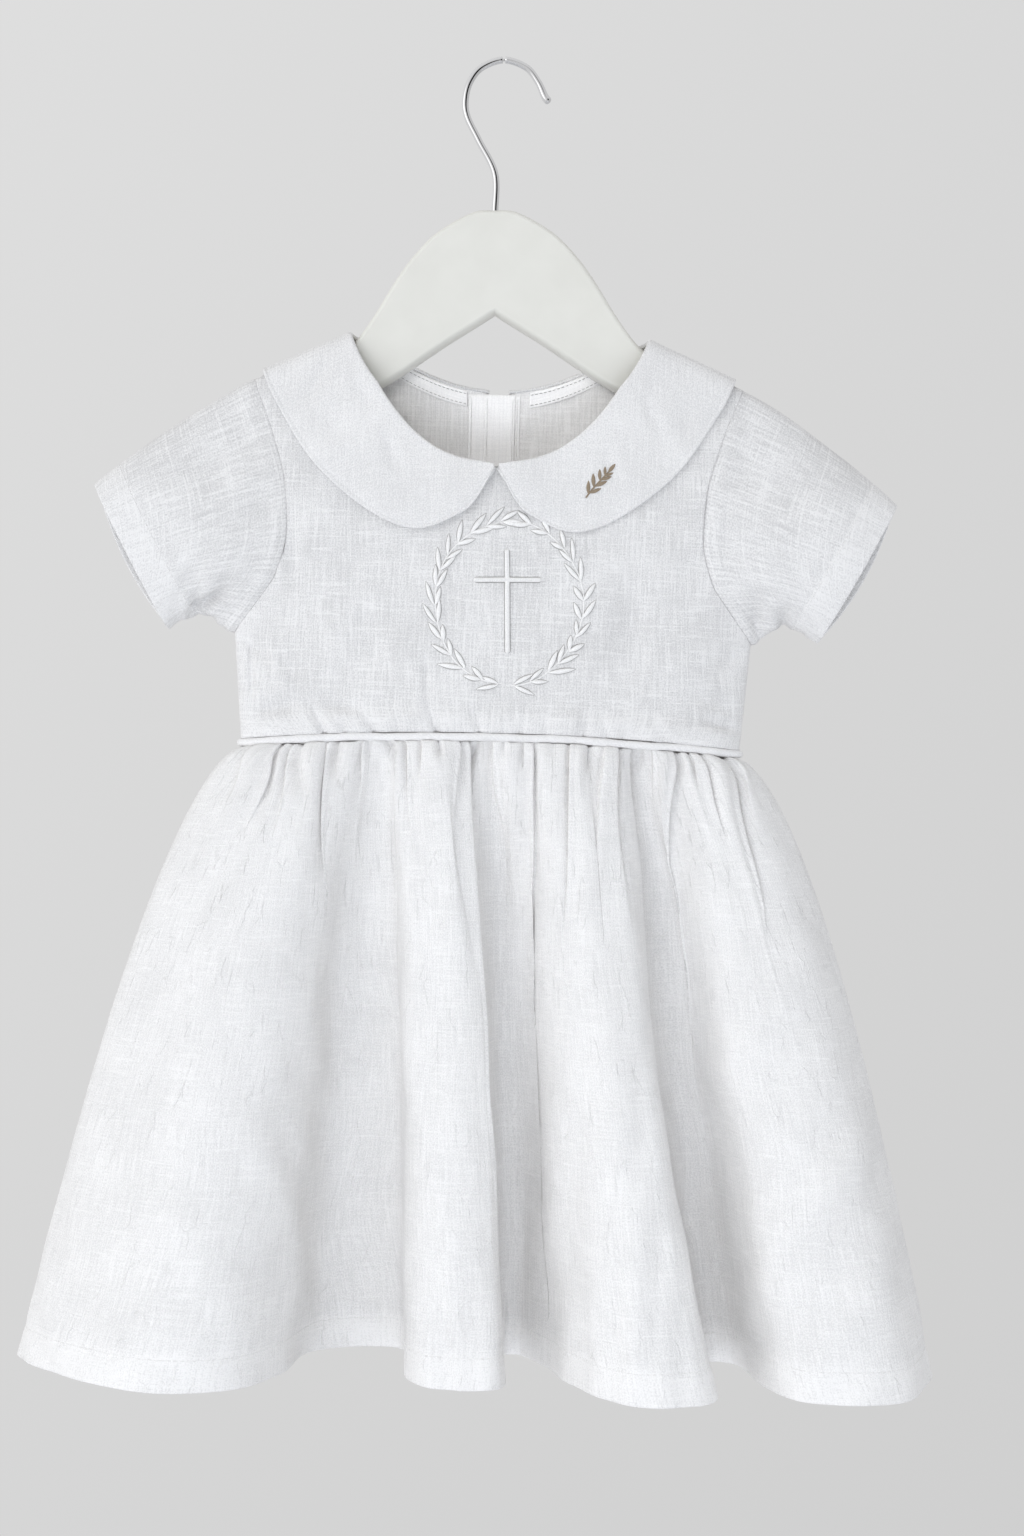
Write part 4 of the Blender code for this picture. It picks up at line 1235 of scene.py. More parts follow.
# Where its front stands off more, at the tip and on the chest: x, z, half width, half height, by
# how much
COLLAR_STANDS = (
    (24, -22, 17, 12, 0.8),
    (62, -12, 26, 16, 0.5),
)
COLLAR_CRUMPLE = 0.6
COLLAR_CREASED = 2.1  # how much deeper the creases hang than listed
# Creases of the collar, over x and the drop from the shoulder line, less than 0 at the back
COLLAR_LEFT_CREASES = (
    (56, 57, 47.5, 79, 0.7, 3.2, 0),
    (68.5, 30, 58.5, 50, 0.6, 3.6, 0.3),
    (88.5, 33, 73.5, 58, 0.5, 4, 0),
    (38.5, 87, 21, 100, 0.5, 4.5, 0),
    (84, 8, 96, 30, 0.6, 4, 0.2),
    (70, -25, 82, -42, 0.6, 4, 0.2),
    (36, -44, 30, -66, 0.5, 4.2, 0),
)
COLLAR_RIGHT_CREASES = (
    (51.5, 61, 60, 84, 0.6, 3.4, 0),
    (71.5, 31.5, 84, 52, 0.6, 3.8, 0.3),
    (96, 20, 88, 46, 0.5, 4, 0),
    (30, 92, 46, 96, 0.4, 4, 0),
    (60, -30, 76, -48, 0.6, 4, 0.2),
    (26, -48, 34, -64, 0.5, 4.2, 0),
)


def collar_height(sign, x, drop):
    """Height of the collar's upper side over the body, as it was pressed and hung."""
    z = shoulder_z(x) - np.abs(drop)
    stand = sum(height * np.exp(-((x - x0) / wide) ** 2 - ((z - z0) / tall) ** 2)
                for x0, z0, wide, tall, height in COLLAR_STANDS)
    creases = COLLAR_LEFT_CREASES if sign < 0 else COLLAR_RIGHT_CREASES
    soft = (COLLAR_CRUMPLE * crumple(sign * x, drop, 41, 44.0)
            + COLLAR_CREASED * crease_relief(creases, x, drop))
    return COLLAR_LIFT + np.where(drop > 0.0, stand, 0.0) + soft


def collar_grid(sign):
    """Rows from the neck roll to the edge, at stations from centre front to centre back."""
    turns = np.linspace(0.0, 0.5 * math.pi, 49)
    starts, ends = [], []
    for side, neck, end_x, outer, order in (
            (1.0, FRONT_NECK, COLLAR_FRONT_END_X, COLLAR_FRONT_EDGE, 1),
            (-1.0, BACK_NECK, COLLAR_BACK_END_X, COLLAR_BACK_EDGE, -1)):
        spread = end_x + (NECK_X - end_x) * np.sin(turns)
        inner = stacked(spread, side * neck_drop(neck, spread))
        edge = np.array(smooth_path(outer, 12))
        edge[:, 1] = side * np.maximum(shoulder_z(edge[:, 0]) - edge[:, 1], 0.0)
        shares = np.linspace(0.0, 1.0, COLLAR_STATIONS)[::order]
        if side < 0:
            shares = shares[1:]
        starts.append(along(inner, shares))
        ends.append(along(edge, shares))
    start, end = np.vstack(starts), np.vstack(ends)
    run = end - start
    length = np.linalg.norm(run, axis=1)
    angles = np.linspace(math.pi, 0.0, NECK_ROLL_STEPS)[:-1]
    edge_off, edge_fall = np.array(COLLAR_EDGE).T
    fit = np.minimum(1.0, length / 12.0)[:, None]
    near_edge = length[:, None] - edge_off * fit
    flat_part = np.linspace(0.0, 1.0, COLLAR_COLUMNS)[:-1] * near_edge[:, :1]
    place = np.concatenate((-NECK_ROLL * np.sin(angles) * fit, flat_part, near_edge), axis=1)
    rolled = -NECK_ROLL * (1.0 - np.cos(angles))
    change = np.concatenate((rolled, np.zeros(COLLAR_COLUMNS - 1), edge_fall))
    flat = start[:, None] + run[:, None] * (place / length[:, None])[..., None]
    x, drop = flat[..., 0], flat[..., 1]
    points = lifted(x, drop, collar_height(sign, x, drop) + change)
    return points * np.array((sign, 1.0, 1.0)), flat


def make_collars():
    for name, sign in (("collar_left", -1), ("collar_right", 1)):
        points, flat = collar_grid(sign)
        collar = add_cloth(name, points, flat, (sign * 85.0, 0.0, 20.0), COLLAR_CLOTH,
                           COLLAR_SHELL, "linen_doubled")


# Sleeves

SLEEVE_ROUND = 100.0  # millimetres of cloth from the shoulder to the underarm
SLEEVE_LONG = 70.0  # and from the armhole to the cuff
SLEEVE_RINGS = 44
SLEEVE_HEM_RINGS = 12
SLEEVE_COLUMNS = 150
HEM_RAISE = 0.25
SLEEVE_CRUMPLE = 0.45
SLEEVE_PUFF = 0.9  # how far the cloth swells just outside the armhole seam
PUFF_BELOW = 4.5  # its middle below the seam
PUFF_WIDE = 3.2
SLEEVE_CALM = 9.0  # over which the creases set in below the seam


def sleeve_grid(sign, inside):
    """Rings of a sleeve from the armhole to the cuff, and its flat map."""
    round_ = np.linspace(0.0, 2.0, SLEEVE_COLUMNS + 1)[None, :-1]
    start = sleeve_point(1, round_, np.zeros_like(round_))
    end = sleeve_point(1, round_, np.ones_like(round_))
    long = np.linalg.norm(end - start, axis=-1)
    hem_share = 1.0 - HEM_DEEP / np.maximum(long, 30.0)
    upper = (np.linspace(0.0, 1.0, SLEEVE_RINGS)[:, None] ** 1.15) * hem_share
    lower = hem_share + (1.0 - hem_share) * np.linspace(0.0, 1.0, SLEEVE_HEM_RINGS + 1)[1:, None]
    share = np.vstack((upper, lower))
    around = np.broadcast_to(round_, share.shape)
    points = sleeve_point(sign, around, share)
    creases = [
        (a0 * SLEEVE_ROUND, b0 * SLEEVE_LONG, a1 * SLEEVE_ROUND, b1 * SLEEVE_LONG, *rest)
        for a0, b0, a1, b1, *rest in (SLEEVE_LEFT_CREASES if sign < 0 else SLEEVE_RIGHT_CREASES)]
    a, b = around * SLEEVE_ROUND, share * SLEEVE_LONG
    relief = (CREASE_DEPTH * crease_relief(creases, a, b)
              + SLEEVE_CRUMPLE * crumple(a, b, 57 + sign, 38.0))
    seam = np.minimum(b / SLEEVE_CALM, 1.0)
    front = np.minimum(around, 2.0 - around)
    puffed = (SLEEVE_PUFF * np.exp(-((b - PUFF_BELOW) / PUFF_WIDE) ** 2)
              * np.sin(0.5 * np.pi * front) ** 0.5)
    hem = np.concatenate((np.zeros(SLEEVE_RINGS), np.ones(SLEEVE_HEM_RINGS)))[:, None]
    points = points + facing_out(points, inside, ring=True) * (
        relief * seam + puffed + HEM_RAISE * hem)[..., None]
    lengths = np.linspace(0.0, 2.0 * SLEEVE_ROUND, SLEEVE_COLUMNS + 1)
    down = np.concatenate((share * long, (share * long)[:, :1]), axis=1)
    return points, stacked(lengths, down)


def turn_up(points, flat, normals, first, radius):
    """The grid with a hem: its last rows, from `first`, again on the inside, round a fold."""
    away = unit(points[-1] - points[-2])
    rows, fold = [], []
    for angle in np.linspace(0.0, math.pi, 6)[1:]:
        moved = away * math.sin(angle) - normals[-1] * (1.0 - math.cos(angle))
        rows.append(points[-1] + moved * radius)
        fold.append(flat[-1] + np.array((0.0, radius * angle)))
    inner = points[first:-1] - normals[first:-1] * 2.0 * radius
    back = flat[first:-1].copy()
    back[..., 1] = 2.0 * flat[-1, :, 1] + radius * math.pi - back[..., 1]
    return (np.concatenate((points, rows, inner[::-1])),
            np.concatenate((flat, fold, back[::-1])))


def hemmed(shape, first):
    """1 in the rows of a grid that are in its hem, from `first`, and 0 above them."""
    return np.broadcast_to((np.arange(shape[0]) > first)[:, None], shape)


def make_sleeves():
    first = SLEEVE_RINGS - 1
    for name, sign in (("sleeve_left", -1), ("sleeve_right", 1)):
        inside = (sign * 150.0, 0.0, -35.0)
        points, flat = sleeve_grid(sign, inside)
        normals = facing_out(points, inside, ring=True)
        seam = [np.vstack((grid[first], grid[first][:1])) for grid in (points, normals)]
        points, flat = turn_up(points, flat, normals, first, HEM_FOLD)
        points, flat = turn_in(points, flat, inside, ("top",), ring=True)
        sleeve = add_cloth(name, points, flat, inside, CLOTH, SHELL, ring=True,
                           doubled=hemmed(points.shape[:2], first))
        stitches = sew(name, [seam], 2.5, 1.9, 0.22, 0.2)


# Back opening: facings round the neck, three layers of the button stand, buttons

BACK_SEAM = np.array((0.0, SEAM_HALF, 0.0))
FACING_LENGTH = 41.0
FACING_BELOW = 0.4  # its edge under the neck's
FACING_INSIDE = 1.3  # its face from the body's
STAND_LENGTH = 170.0
# Pressed edge of a strip: distance from the edge, change of height
STRIP_EDGE = ((0.0, -0.5), (0.08, -0.22), (0.25, -0.06), (0.5, 0.0), (1.2, 0.03), (1.9, -0.06))
STRIP_EDGE_WIDE = 2.6
STRIP_COLUMNS = 9  # between its edges


def add_strip(name, place, width, length, rows, out, wall, inset, ends, sewing):
    """A narrow strip of cloth with pressed edges and a row of stitches along each of them.

    place(off, share, fall) gives its points: off is millimetres from one long edge, fall the
    change of height towards the edges. out is 1 where it shows on the back, -1 on the inside.
    """
    edge = np.array(STRIP_EDGE)
    inner = np.linspace(STRIP_EDGE_WIDE, width - STRIP_EDGE_WIDE, STRIP_COLUMNS)
    off = np.concatenate((edge[:, 0], inner, width - edge[::-1, 0]))
    fall = np.concatenate((edge[:, 1], np.zeros(STRIP_COLUMNS), edge[::-1, 1]))
    share = np.linspace(0.0, 1.0, rows)
    dip = np.interp(np.minimum(share, 1.0 - share) * length, edge[:, 0], edge[:, 1])
    points = place(off[None, :], share[:, None], fall[None, :] + dip[:, None])
    flat = stacked(off[None, :], share[:, None] * length)
    strip = add_cloth(name, points, flat, (0.0, -400.0 * out, 0.0), DOUBLED, wall,
                      "linen_doubled")
    share = np.linspace(*ends, rows)[:, None]
    lines = [place(np.array([[off]]), share, 0.0 * share)[:, 0] for off in (inset, width - inset)]
    normals = np.broadcast_to((0.0, float(out), 0.0), lines[0].shape)
    return strip, sew(name, [(line, normals) for line in lines], *sewing)


def make_facings():
    for name, sign in (("neck_facing_left", -1), ("neck_facing_right", 1)):
        inner = FACING_INNER_X[sign]

        def place(off, share, fall, sign=sign, inner=inner):
            x = inner + (FACING_OUTER_X - inner) * share + 0.0 * off
            drop = -(neck_drop(BACK_NECK, x) + FACING_BELOW + off)
            points = lifted(x, drop, -FACING_INSIDE - fall) + BACK_SEAM
            return points * np.array((sign, 1.0, 1.0))

        # Its stitches are in the painted-shade thread: dark, for the shadow in their needle holes
        strip, stitches = add_strip(name, place, FACING_WIDTH, FACING_LENGTH, 60, -1, 0.55, 1.5,
                                    (0.01, 0.99), (2.2, 1.3, 0.2, 0.2, PAINTED_SHADE))


def stand_place(x0, lift, out):
    """Places on a long layer of the stand; out is 1 where the back side shows, -1 the inside."""
    def place(off, share, fall):
        x = x0 + off + 0.0 * share
        low = shoulder_z(x) - (waist_z(x) + PIPING_RADIUS + SEAM_LINE)
        drop = STAND_TOP_DROP + (low - STAND_TOP_DROP) * share
        return lifted(x, -drop, lift + out * fall) + BACK_SEAM
    return place


def make_stand():
    """The stand's three layers, each with its edges' x, height over the body, side and wall."""
    for name, (x0, x1), lift, out, wall in (
            ("button_stand_over", (-STAND_HALF, STAND_HALF), 0.85, 1, 0.75),
            ("button_stand_facing", STAND_FACING, -1.15, -1, 0.5),
            ("button_stand_under", STAND_UNDER, -2.1, -1, 0.75)):
        strip, stitches = add_strip(name, stand_place(x0, lift, out), x1 - x0, STAND_LENGTH, 90,
                                    out, wall, 1.4, (0.012, 0.995), (2.4, 1.8, 0.2, 0.18))


# A button's outline: share of its radius, height above its underside
BUTTON_OUTLINE = (
    (0, 0),
    (0.7, 0),
    (0.93, 0.35),
    (1, 0.9),
    (0.99, 1.3),
    (0.94, 1.7),
    (0.86, 1.95),
    (0.78, 1.98),
    (0.70, 1.85),
    (0.62, 1.55),
    (0.5, 1.4),
    (0.25, 1.36),
    (0, 1.35),
)
BUTTON_SIDES = 40
BUTTON_LIFT = 0.95  # of its underside over the body
THREAD_REACH = 0.7875  # of the thread's cross from the button's middle
THREAD_RISE = 1.25
HOLE_LONG = 13.2  # worked buttonhole
HOLE_STITCHES = 27


def make_buttons():
    """Four-hole buttons sewn on the stand's back, each with its worked buttonhole."""
    turn = np.linspace(0.0, math.tau, BUTTON_SIDES + 1)[:-1, None]
    share = np.linspace(0.0, 1.0, 9)[:, None]
    for number, height in enumerate(BUTTON_HEIGHTS, start=1):
        drop = float(shoulder_z(0.0)) - height
        centre, right, left, below = lifted(
            np.array((0.0, 2.5, -2.5, 0.0)), -drop - np.array((0.0, 0.0, 0.0, 2.5)), BUTTON_LIFT)
        across, up = unit(right - left), unit(centre - below)
        out = unit(np.cross(up, across))
        base = centre + BACK_SEAM
        around = (np.cos(turn) * across + np.sin(turn) * up) * BUTTON_RADIUS
        points = np.array([base + around * reach + out * rise for reach, rise in BUTTON_OUTLINE])
        flat = np.zeros((len(points), BUTTON_SIDES + 1, 2))
        name = f"button_{number}"
        mesh = reworked(cloth_mesh(f"{name}_shown", points, flat, base + out, ring=True), 1e-7)
        add_piece(f"{name}_shown", mesh, BUTTON, (name,))
        threads = []
        for way in (1.0, -1.0):
            reach = across + up * way
            for strand in (-0.16, 0.16):
                middle = base + unit(np.cross(reach, out)) * strand
                rise = out * (THREAD_RISE + 0.55 * np.sin(math.pi * share))
                threads.append(middle + reach * (2.0 * share - 1.0) * THREAD_REACH + rise)
        for at in np.linspace(-0.5, 0.5, HOLE_STITCHES) * HOLE_LONG:
            for end in (-0.75, 0.75):
                spot = base + up * at + across * end - out * 0.02
                threads.append(np.array((spot - across * 0.7, spot + out * 0.16,
                                         spot + across * 0.7)))
        add_tubes(f"{name}_thread", threads, 0.17, WHITE_THREAD)


# Waist piping

PIPING_STATIONS = 420
PIPING_SIDES = 18
PIPING_START = 0.0006  # share of the way round that each end keeps from the middle
PIPING_TWIST = 0.045  # height of the cord's turns through the cloth


def make_piping():
    """Bias-cut cloth over a cord, from one side of the back opening round to the other."""
    turn = np.linspace(PIPING_START, 1.0 - PIPING_START, PIPING_STATIONS) * math.tau
    x = -WAIST_X * np.sin(turn)
    z = waist_z(x)
    path = stacked(x, np.where(np.cos(turn) > 0.0, 1.0, -1.0) * body_depth(x, z), z)
    length = path_lengths(path)
    path[:, 2] += 0.28 * crumple(length, 0.0, 71, 30.0)
    ahead = unit(np.gradient(path, axis=0))
    up = unit(np.array((0.0, 0.0, 1.0)) - ahead * ahead[:, 2:])
    across = np.cross(ahead, up)
    turned = np.linspace(0.0, math.tau, PIPING_SIDES + 1)[None, :-1]
    reach = (PIPING_RADIUS + 0.1 * crumple(length, 0.0, 72, 14.0))[:, None]
    reach = reach + PIPING_TWIST * np.sin(length[:, None] * 2.1 + turned)
    ends = np.minimum(length, length[-1] - length)
    reach = reach * np.sqrt(np.clip(ends / 1.2, 0.05, 1.0))[:, None]
    points = (path[:, None] + (reach * np.cos(turned))[..., None] * across[:, None]
              + (reach * np.sin(turned))[..., None] * up[:, None])
    bias, round_ = length[:, None] * 0.7, np.arange(PIPING_SIDES + 1) * 0.49
    flat = stacked(bias + round_, bias - round_)
    piping = add_cloth("waist_piping", points, flat, (0.0, 0.0, -136.0), DOUBLED, 0.4, ring=True)


# Skirt

SKIRT_COLUMNS = 456
SKIRT_ROWS = 80
SKIRT_HEM_ROWS = 8
FOLD_CROWD = 3.4  # how much closer the columns lie where the cloth folds over
HEM_DRAWN = 0.4  # how far the row of stitches draws the cloth in
HEM_DRAWN_LONG = 1.4
FLAT_LEVEL = 0.75  # where the cloth's width is measured for its flat map


def gather_columns(gathers):
    """Waist x of the columns, closer together where the cloth folds over."""
    even = np.linspace(-WAIST_X, WAIST_X, 8001)
    crowd = np.ones_like(even)
    for place, _, _, _, _, fold, *_ in gathers:
        crowd = crowd + FOLD_CROWD * fold * np.exp(-((even - place) / (1.5 * FOLD_HALF)) ** 2)
    total = np.concatenate(([0.0], np.cumsum(0.5 * (crowd[1:] + crowd[:-1]))))
    return np.interp(np.linspace(0.0, total[-1], SKIRT_COLUMNS), total, even)


def make_skirts():
    first = SKIRT_ROWS - 1
    inside = (0.0, 0.0, -300.0)
    hem_level = 1.0 - (HEM_DEEP - 0.5) / SKIRT_LONG
    levels = np.concatenate((np.linspace(0.0, 1.0, SKIRT_ROWS) ** 1.25 * hem_level,
                             np.linspace(hem_level, 1.0, SKIRT_HEM_ROWS + 1)[1:]))
    for name, side, gathers in (("skirt_front", -1, FRONT_GATHERS),
                                ("skirt_back", 1, BACK_GATHERS)):
        points, spread = skirt_cloth(side, gather_columns(gathers), levels)
        normals = facing_out(points, inside)
        drawn = HEM_DRAWN * np.exp(-((levels - hem_level) * SKIRT_LONG / HEM_DRAWN_LONG) ** 2)
        points = points - normals * drawn[:, None, None]
        even = np.linspace(-WAIST_X, WAIST_X, 1200)[None, :]
        arc = row_lengths(skirt_form(side, even, np.array([[FLAT_LEVEL]])))[0]
        wide = np.interp(spread, even[0], arc - 0.5 * arc[-1])
        flat = stacked(wide, levels[:, None] * SKIRT_LONG)
        seam = (points[first], normals[first])
        points, flat = turn_up(points, flat, normals, first, HEM_FOLD)
        points, flat = turn_in(points, flat, inside, ("left", "right", "top"))
        skirt = add_cloth(name, points, flat, inside, SKIRT_CLOTH, SHELL,
                          doubled=hemmed(points.shape[:2], first))
        stitches = sew(name, [seam], 3.0, 2.1, 0.2, 0.18, sides=4)


# Embroidery

def satin(place, path, half_widths, rise, threads, turns=9):
    """Closed padded shape of satin stitches along a path on the cloth.

    place(x, z, lift) gives points; path is x, z; the stitches run across the path.
    """
    path = np.array(path, float)
    ahead = unit(np.gradient(path, axis=0))
    aside = stacked(-ahead[:, 1], ahead[:, 0])
    lengths = path_lengths(path)
    ridge = 1.0 + 0.10 * np.sin(math.tau * threads * lengths / lengths[-1])
    turned = np.linspace(0.0, math.tau, turns + 1)[None, :-1]
    wide = (np.asarray(half_widths) * (0.96 + 0.04 * ridge))[:, None]
    tall = (np.asarray(rise) * ridge)[:, None]
    spot = path[:, None] + aside[:, None] * (wide * np.cos(turned))[..., None]
    lift = tall * (0.5 + 0.62 * np.sin(turned))
    return place(spot[..., 0], spot[..., 1], lift)


def add_satins(name, shapes, material):
    """One piece of satin shapes, each a grid of rings."""
    mesh = closed_mesh(name, [hung(rings) for rings in shapes])
    return add_piece(name, mesh, material)


def front_place(x, z, lift):
    return bodice_point(-1, x, z, lift)


def collar_place(x, z, lift):
    """Point over the right front collar's upper side."""
    drop = shoulder_z(x) - z
    return lifted(x, drop, collar_height(1, x, drop) + lift)


CROSS_BARS = (
    ((6.1, -43.3), (7.6, -94.4), 1.15, 1.35),
    ((-9.8, -58.8), (23.4, -58.0), 1.1, 1.5),
)
BAR_STEP = 0.16  # between the points of a bar's path
BAR_PITCH = 0.62  # between its threads
LEAF_PITCH = 0.7  # and a leaf's
SHADE_BAND_OUT = 0.36  # painted shade: a dark band along each side of satin stitch, for the shadow at its edge
SHADE_BAND_RISE = 0.15
WREATH_CENTRE = (7.7, -69.7)
WREATH_HALF = (36.2, 40.0)
WREATH_REACH = {-1: math.radians(174.0), 1: math.radians(171.0)}
LEAF_HALF = (0.95, 1.25)  # from the least to the greatest
LEAF_LENGTH = (9.0, 14.0)
LEAF_STEP = (0.18, 0.27)  # turn from one pair to the next
LEAF_TALL = 1.45
STEM_POINTS = 90
STEM_HALF = 0.42
AHEAD = 0.03  # turn over which the branch's direction is taken


def make_cross():
    bars, shade_bands = [], []
    for (x0, z0), (x1, z1), half, tall in CROSS_BARS:
        long = math.hypot(x1 - x0, z1 - z0)
        share = np.linspace(0.0, 1.0, int(long / BAR_STEP))
        path = stacked(x0 + (x1 - x0) * share, z0 + (z1 - z0) * share)
        ends = np.minimum(share, 1.0 - share) * long
        blunt = np.sqrt(np.clip(ends / 0.9, 0.02, 1.0))
        wobble = 1.0 + 0.03 * crumple(share * long, 0.0, int(half * 100), 7.0)
        bars.append(satin(front_place, path, half * blunt * wobble, tall * blunt,
                          long / BAR_PITCH, turns=16))
        # Painted shade: a flat dark band just wider than the bar, for the shadow along its edges
        shade_bands.append(satin(front_place, path[::4], (half + SHADE_BAND_OUT) * blunt[::4],
                           SHADE_BAND_RISE, 1.0, turns=6))
    add_satins("cross_embroidery", bars, WHITE_THREAD)
    add_satins("cross_painted_shade", shade_bands, PAINTED_SHADE)


def wreath_spot(turn, off):
    """Point of the wreath: turn from its foot, negative on the left, off outwards of its stem."""
    x = WREATH_CENTRE[0] + (WREATH_HALF[0] + off) * math.sin(turn)
    z = WREATH_CENTRE[1] - (WREATH_HALF[1] + off) * math.cos(turn)
    return x, z


def directions(heading):
    """Directions ahead and to the left of a heading."""
    ahead = np.array((math.cos(heading), math.sin(heading)))
    return ahead, np.array((-ahead[1], ahead[0]))


def leaf(place, foot, heading, length, half, bend, tall):
    """A lens of satin stitches from its foot, bent a little to one side."""
    share = np.linspace(0.0, 1.0, 13)
    run = share * length
    curve = bend * np.sin(0.5 * math.pi * share) * share
    ahead, aside = directions(heading)
    path = np.array(foot) + ahead * run[:, None] + aside * (curve * length)[:, None]
    belly = np.sin(math.pi * np.clip(share, 0.03, 0.985)) ** 0.7
    return satin(place, path, half * belly, tall * belly, length / LEAF_PITCH)


def make_wreath():
    """Two branches of paired leaves, from the foot up both sides, on fine stems."""
    draw = random.Random(2026)
    shapes, shade_bands = [], []

    def tip_heading(way, turn, off):
        x, z = wreath_spot(way * turn, off)
        return math.atan2(z - foot[1], x - foot[0])

    for way, reach in WREATH_REACH.items():
        turns = np.linspace(0.05, reach, STEM_POINTS) * way
        wander = 0.5 * np.sin(np.linspace(0.0, 13.0, STEM_POINTS) + way)
        stem = np.array([wreath_spot(t, w) for t, w in zip(turns, wander)])
        thin = np.full(STEM_POINTS, STEM_HALF)
        thin[:3] = thin[-3:] = 0.2
        shapes.append(satin(front_place, stem, thin, thin * 0.9, 60.0, turns=7))
        turn = 0.10
        while turn < reach:
            wide = draw.uniform(*LEAF_HALF)
            length = draw.uniform(*LEAF_LENGTH)
            for out in (-1, 1):
                off = draw.uniform(-0.2, 0.3)
                foot = wreath_spot(way * (turn + draw.uniform(-0.02, 0.02)), off)
                heading = tip_heading(way, turn + AHEAD, off)
                spread = math.radians(draw.uniform(20.0, 40.0))
                size = length * (draw.uniform(0.8, 1.0) if out > 0 else draw.uniform(0.7, 0.92))
                heading -= way * out * spread
                bend = way * out * draw.uniform(0.04, 0.2)
                shapes.append(leaf(front_place, foot, heading, size, wide, bend, LEAF_TALL))
                # Painted shade: a flat dark band just larger than the leaf, for the shadow round
                # its edge
                shade_bands.append(leaf(front_place, foot, heading, size + SHADE_BAND_OUT,
                                  wide + SHADE_BAND_OUT, bend, SHADE_BAND_RISE))
            turn += draw.uniform(*LEAF_STEP)
        foot = wreath_spot(way * reach, 0.0)
        heading = tip_heading(way, reach + AHEAD, 0.0)
        shapes.append(leaf(front_place, foot, heading, 7.5, 0.9, 0.05 * way, 1.1))
    add_satins("wreath_embroidery", shapes, WHITE_THREAD)
    add_satins("wreath_painted_shade", shade_bands, PAINTED_SHADE)


SPRIG_FOOT = (44.0, -17.5)
SPRIG_HEADING = math.radians(58.0)
SPRIG_LONG = 16.5
SPRIG_POINTS = 24
# Its leaves: place on the stem, side, length, half width
SPRIG_LEAVES = (
    (3, 1, 6.6, 0.95),
    (4, -1, 6.2, 0.9),
    (9, 1, 6.8, 1.0),
    (10, -1, 6.4, 0.95),
    (15, 1, 5.8, 0.9),
    (16, -1, 5.5, 0.85),
    (20, 1, 4.6, 0.75),
    (20, -1, 4.4, 0.7),
)


def make_sprig():
    """A small plain sprig in the taupe thread, where the collar carries its embroidery."""
    share = np.linspace(0.0, 1.0, SPRIG_POINTS)
    ahead, aside = directions(SPRIG_HEADING)
    bent = -2.2 * np.sin(math.pi * 0.5 * share) * share
    stem = np.array(SPRIG_FOOT) + ahead * (SPRIG_LONG * share)[:, None] + aside * bent[:, None]
    shapes = [satin(collar_place, stem, np.full(SPRIG_POINTS, STEM_HALF),
                    np.full(SPRIG_POINTS, 0.4), 26.0, turns=7)]
    for k, (at, out, size, half) in enumerate(SPRIG_LEAVES):
        turned = SPRIG_HEADING + out * math.radians(40.0 + 2.0 * (k % 3))
        shapes.append(leaf(collar_place, stem[at], turned, size, half, -0.12 * out, 0.5))
    shapes.append(leaf(collar_place, stem[-1], SPRIG_HEADING - 0.1, 5.6, 0.95, 0.0, 0.5))
    add_satins("collar_sprig_embroidery", shapes, TAUPE_THREAD)


# Hanger

def make_hanger():
    half = smooth_path(BOARD_OUTLINE, 10)
    rim = np.array(half + [(-x, z) for x, z in half[-2:0:-1]])
    around = unit(np.roll(rim, -1, axis=0) - np.roll(rim, 1, axis=0))
    inward = stacked(around[:, 1], -around[:, 0])
    angles = np.linspace(0.0, 0.5 * math.pi, 6)
    eased = BOARD_EASED * (1.0 - np.cos(angles)), BOARD_EASED_DEEP * (1.0 - np.sin(angles))
    rounded = BOARD_ROUND * (1.0 - np.cos(angles)), BOARD_ROUND * (1.0 - np.sin(angles))
    insets = np.concatenate((eased[0][::-1], rounded[0]))
    depths = np.concatenate((eased[1][::-1] - BOARD_HALF_THICK, BOARD_HALF_THICK - rounded[1]))
    rings = [np.insert(rim + inward * inset, 1, y, axis=1) for inset, y in zip(insets, depths)]
    mesh = closed_mesh("hanger_arms", [np.array(rings) * MM])
    arms = add_piece("hanger_arms", mesh, WOOD, ("hanger_board",))
    for face in arms.data.polygons:
        if len(face.vertices) > 4:
            face.use_smooth = False

    route = np.array([(x, 0.0, z) for x, z in smooth_path(WIRE_ROUTE, 14)])
    length = path_lengths(route)
    left = length[-1] - length
    radius = WIRE_RADIUS + 0.32 * np.exp(-(left / 7.0) ** 2)
    rounding = np.clip((WIRE_RADIUS - left) / WIRE_RADIUS, 0.0, 1.0)
    dome = np.sqrt(np.maximum(1.0 - rounding ** 2, 0.002))
    wire = add_tubes("hanger_wire", [route], radius * dome, CHROME, sides=24,
                     lean=False)
    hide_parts("hanger_hook")


make_hanger()
make_bodice()
make_piping()
make_stand()
make_facings()
make_buttons()
make_collars()
make_sleeves()
make_skirts()
make_cross()
make_wreath()
make_sprig()


# Room, light and camera

def make_floor():
    """Pale floor, well below the gown and outside the picture."""
    body = bmesh.new()
    bmesh.ops.create_circle(body, cap_ends=True, segments=96, radius=1.7)
    mesh = bpy.data.meshes.new("floor")
    body.to_mesh(mesh)
    body.free()
    floor = bpy.data.objects.new("floor", mesh)
    floor.location.z = -1.45
    material, _, _ = new_material("pale_floor", (0.62, 0.62, 0.625), {"Roughness": 0.9})
    mesh.materials.append(material)
    bpy.context.scene.collection.objects.link(floor)


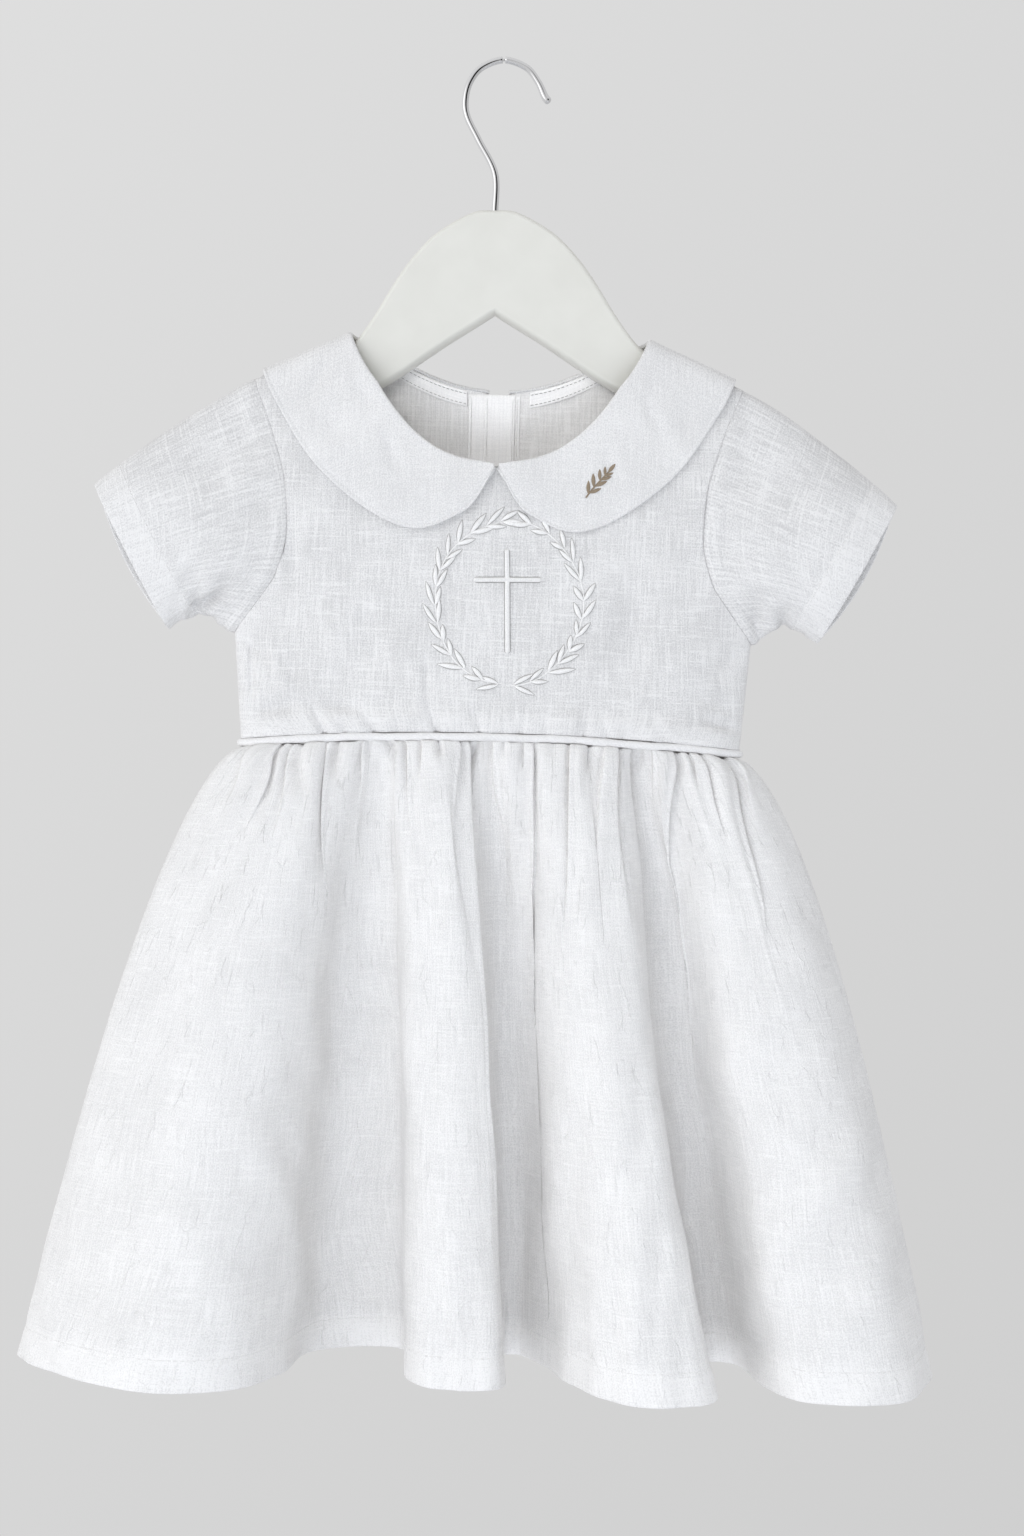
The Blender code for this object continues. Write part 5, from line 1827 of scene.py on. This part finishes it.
def make_world():
    """Plain light grey all round, a little lighter to the upper left, and, out of the
    picture, a dark doorway on the right and a window on the left, which the wire reflects."""
    world = bpy.data.worlds.new("studio")
    bpy.context.scene.world = world
    world.use_nodes = True
    tree = world.node_tree
    place = tree.nodes.new("ShaderNodeTexCoord")
    parts = tree.nodes.new("ShaderNodeSeparateXYZ")
    tree.links.new(place.outputs["Generated"], parts.inputs["Vector"])

    def towards(*direction):
        return weighted(tree, zip(parts.outputs, direction))

    plain = arithmetic(tree, "ADD", towards(-0.11, 0.0, 0.10), 0.68)
    beside_doorway = stretched(tree, towards(0.43, -0.90, 0.06), 0.94, 0.86, 0.03, 1.0)
    window = stretched(tree, towards(-0.74, -0.66, 0.13), 0.90, 0.97, 0.0, 0.75)
    level = arithmetic(tree, "MULTIPLY", plain, beside_doorway)
    level = arithmetic(tree, "ADD", level, window)
    rays = tree.nodes.new("ShaderNodeLightPath")
    wall = tree.nodes.new("ShaderNodeMix")
    set_inputs(tree, wall, {"Factor": rays.outputs["Is Camera Ray"], "A": level, "B": plain})
    tree.links.new(wall.outputs["Result"], tree.nodes["Background"].inputs["Color"])


def add_area(name, place, target, size, power, colour=(1.0, 1.0, 1.0)):
    """Round soft lamp that neither the camera nor the wire sees."""
    light = bpy.data.lights.new(name, "AREA")
    light.shape = "DISK"
    light.size = size
    light.energy = power
    light.color = colour
    lamp = bpy.data.objects.new(name, light)
    lamp.location = place
    aim = Vector(target) - Vector(place)
    lamp.rotation_euler = aim.to_track_quat("-Z", "Y").to_euler()
    lamp.visible_camera = False
    lamp.visible_glossy = False
    bpy.context.scene.collection.objects.link(lamp)
    return lamp


# Lamps round the gown: name, place, size, power
LAMPS = (
    ("key", (-1.2, -1.5, 1.3), 1.2, 6.0),
    ("left", (-2.2, -0.7, -0.1), 1.4, 4.0),
    ("right", (2.2, -0.7, -0.1), 1.4, 7.0),
    ("low_left", (-0.5, -2.0, -1.3), 1.4, 14.0),
    ("low_right", (0.6, -2.0, -1.3), 1.4, 13.0),
    ("back", (0.2, 2.1, 0.5), 1.6, 14.0),
)
LAMP_COLOUR = (0.925, 0.985, 1.085)
GOWN_MIDDLE = (0.0, 0.0, -0.35)
BACK_NECK_MIDDLE = (0.0, 0.02, -0.19)


def light_inside_of_back():
    """A lamp for the cloth behind the neck alone, as light passes through its single layer."""
    inside = bpy.data.collections.new("inside_of_the_back")
    for name in ("bodice_back_left", "bodice_back_right", "neck_facing_left",
                 "neck_facing_right", "button_stand_over", "button_stand_facing",
                 "button_stand_under"):
        inside.objects.link(bpy.data.objects[f"{name}_cloth"])
    lamp = add_area("neck", (-0.15, -1.1, -0.05), BACK_NECK_MIDDLE, 0.4, 4.2)
    lamp.light_linking.receiver_collection = inside


make_floor()
make_world()
for name, place, size, power in LAMPS:
    add_area(name, place, GOWN_MIDDLE, size, power, LAMP_COLOUR)
light_inside_of_back()

scene = bpy.context.scene
scene.view_settings.view_transform = "Standard"
scene.view_settings.look = "None"
scene.cycles.diffuse_bounces = 10
camera_data = bpy.data.cameras.new("camera")
camera_data.lens = 56.25
camera_data.sensor_width = 36.0
camera = bpy.data.objects.new("camera", camera_data)
camera.location = (0.0085, -1.2, -0.3515)
camera.rotation_euler = (math.radians(90.0), 0.0, 0.0)
scene.collection.objects.link(camera)
scene.camera = camera
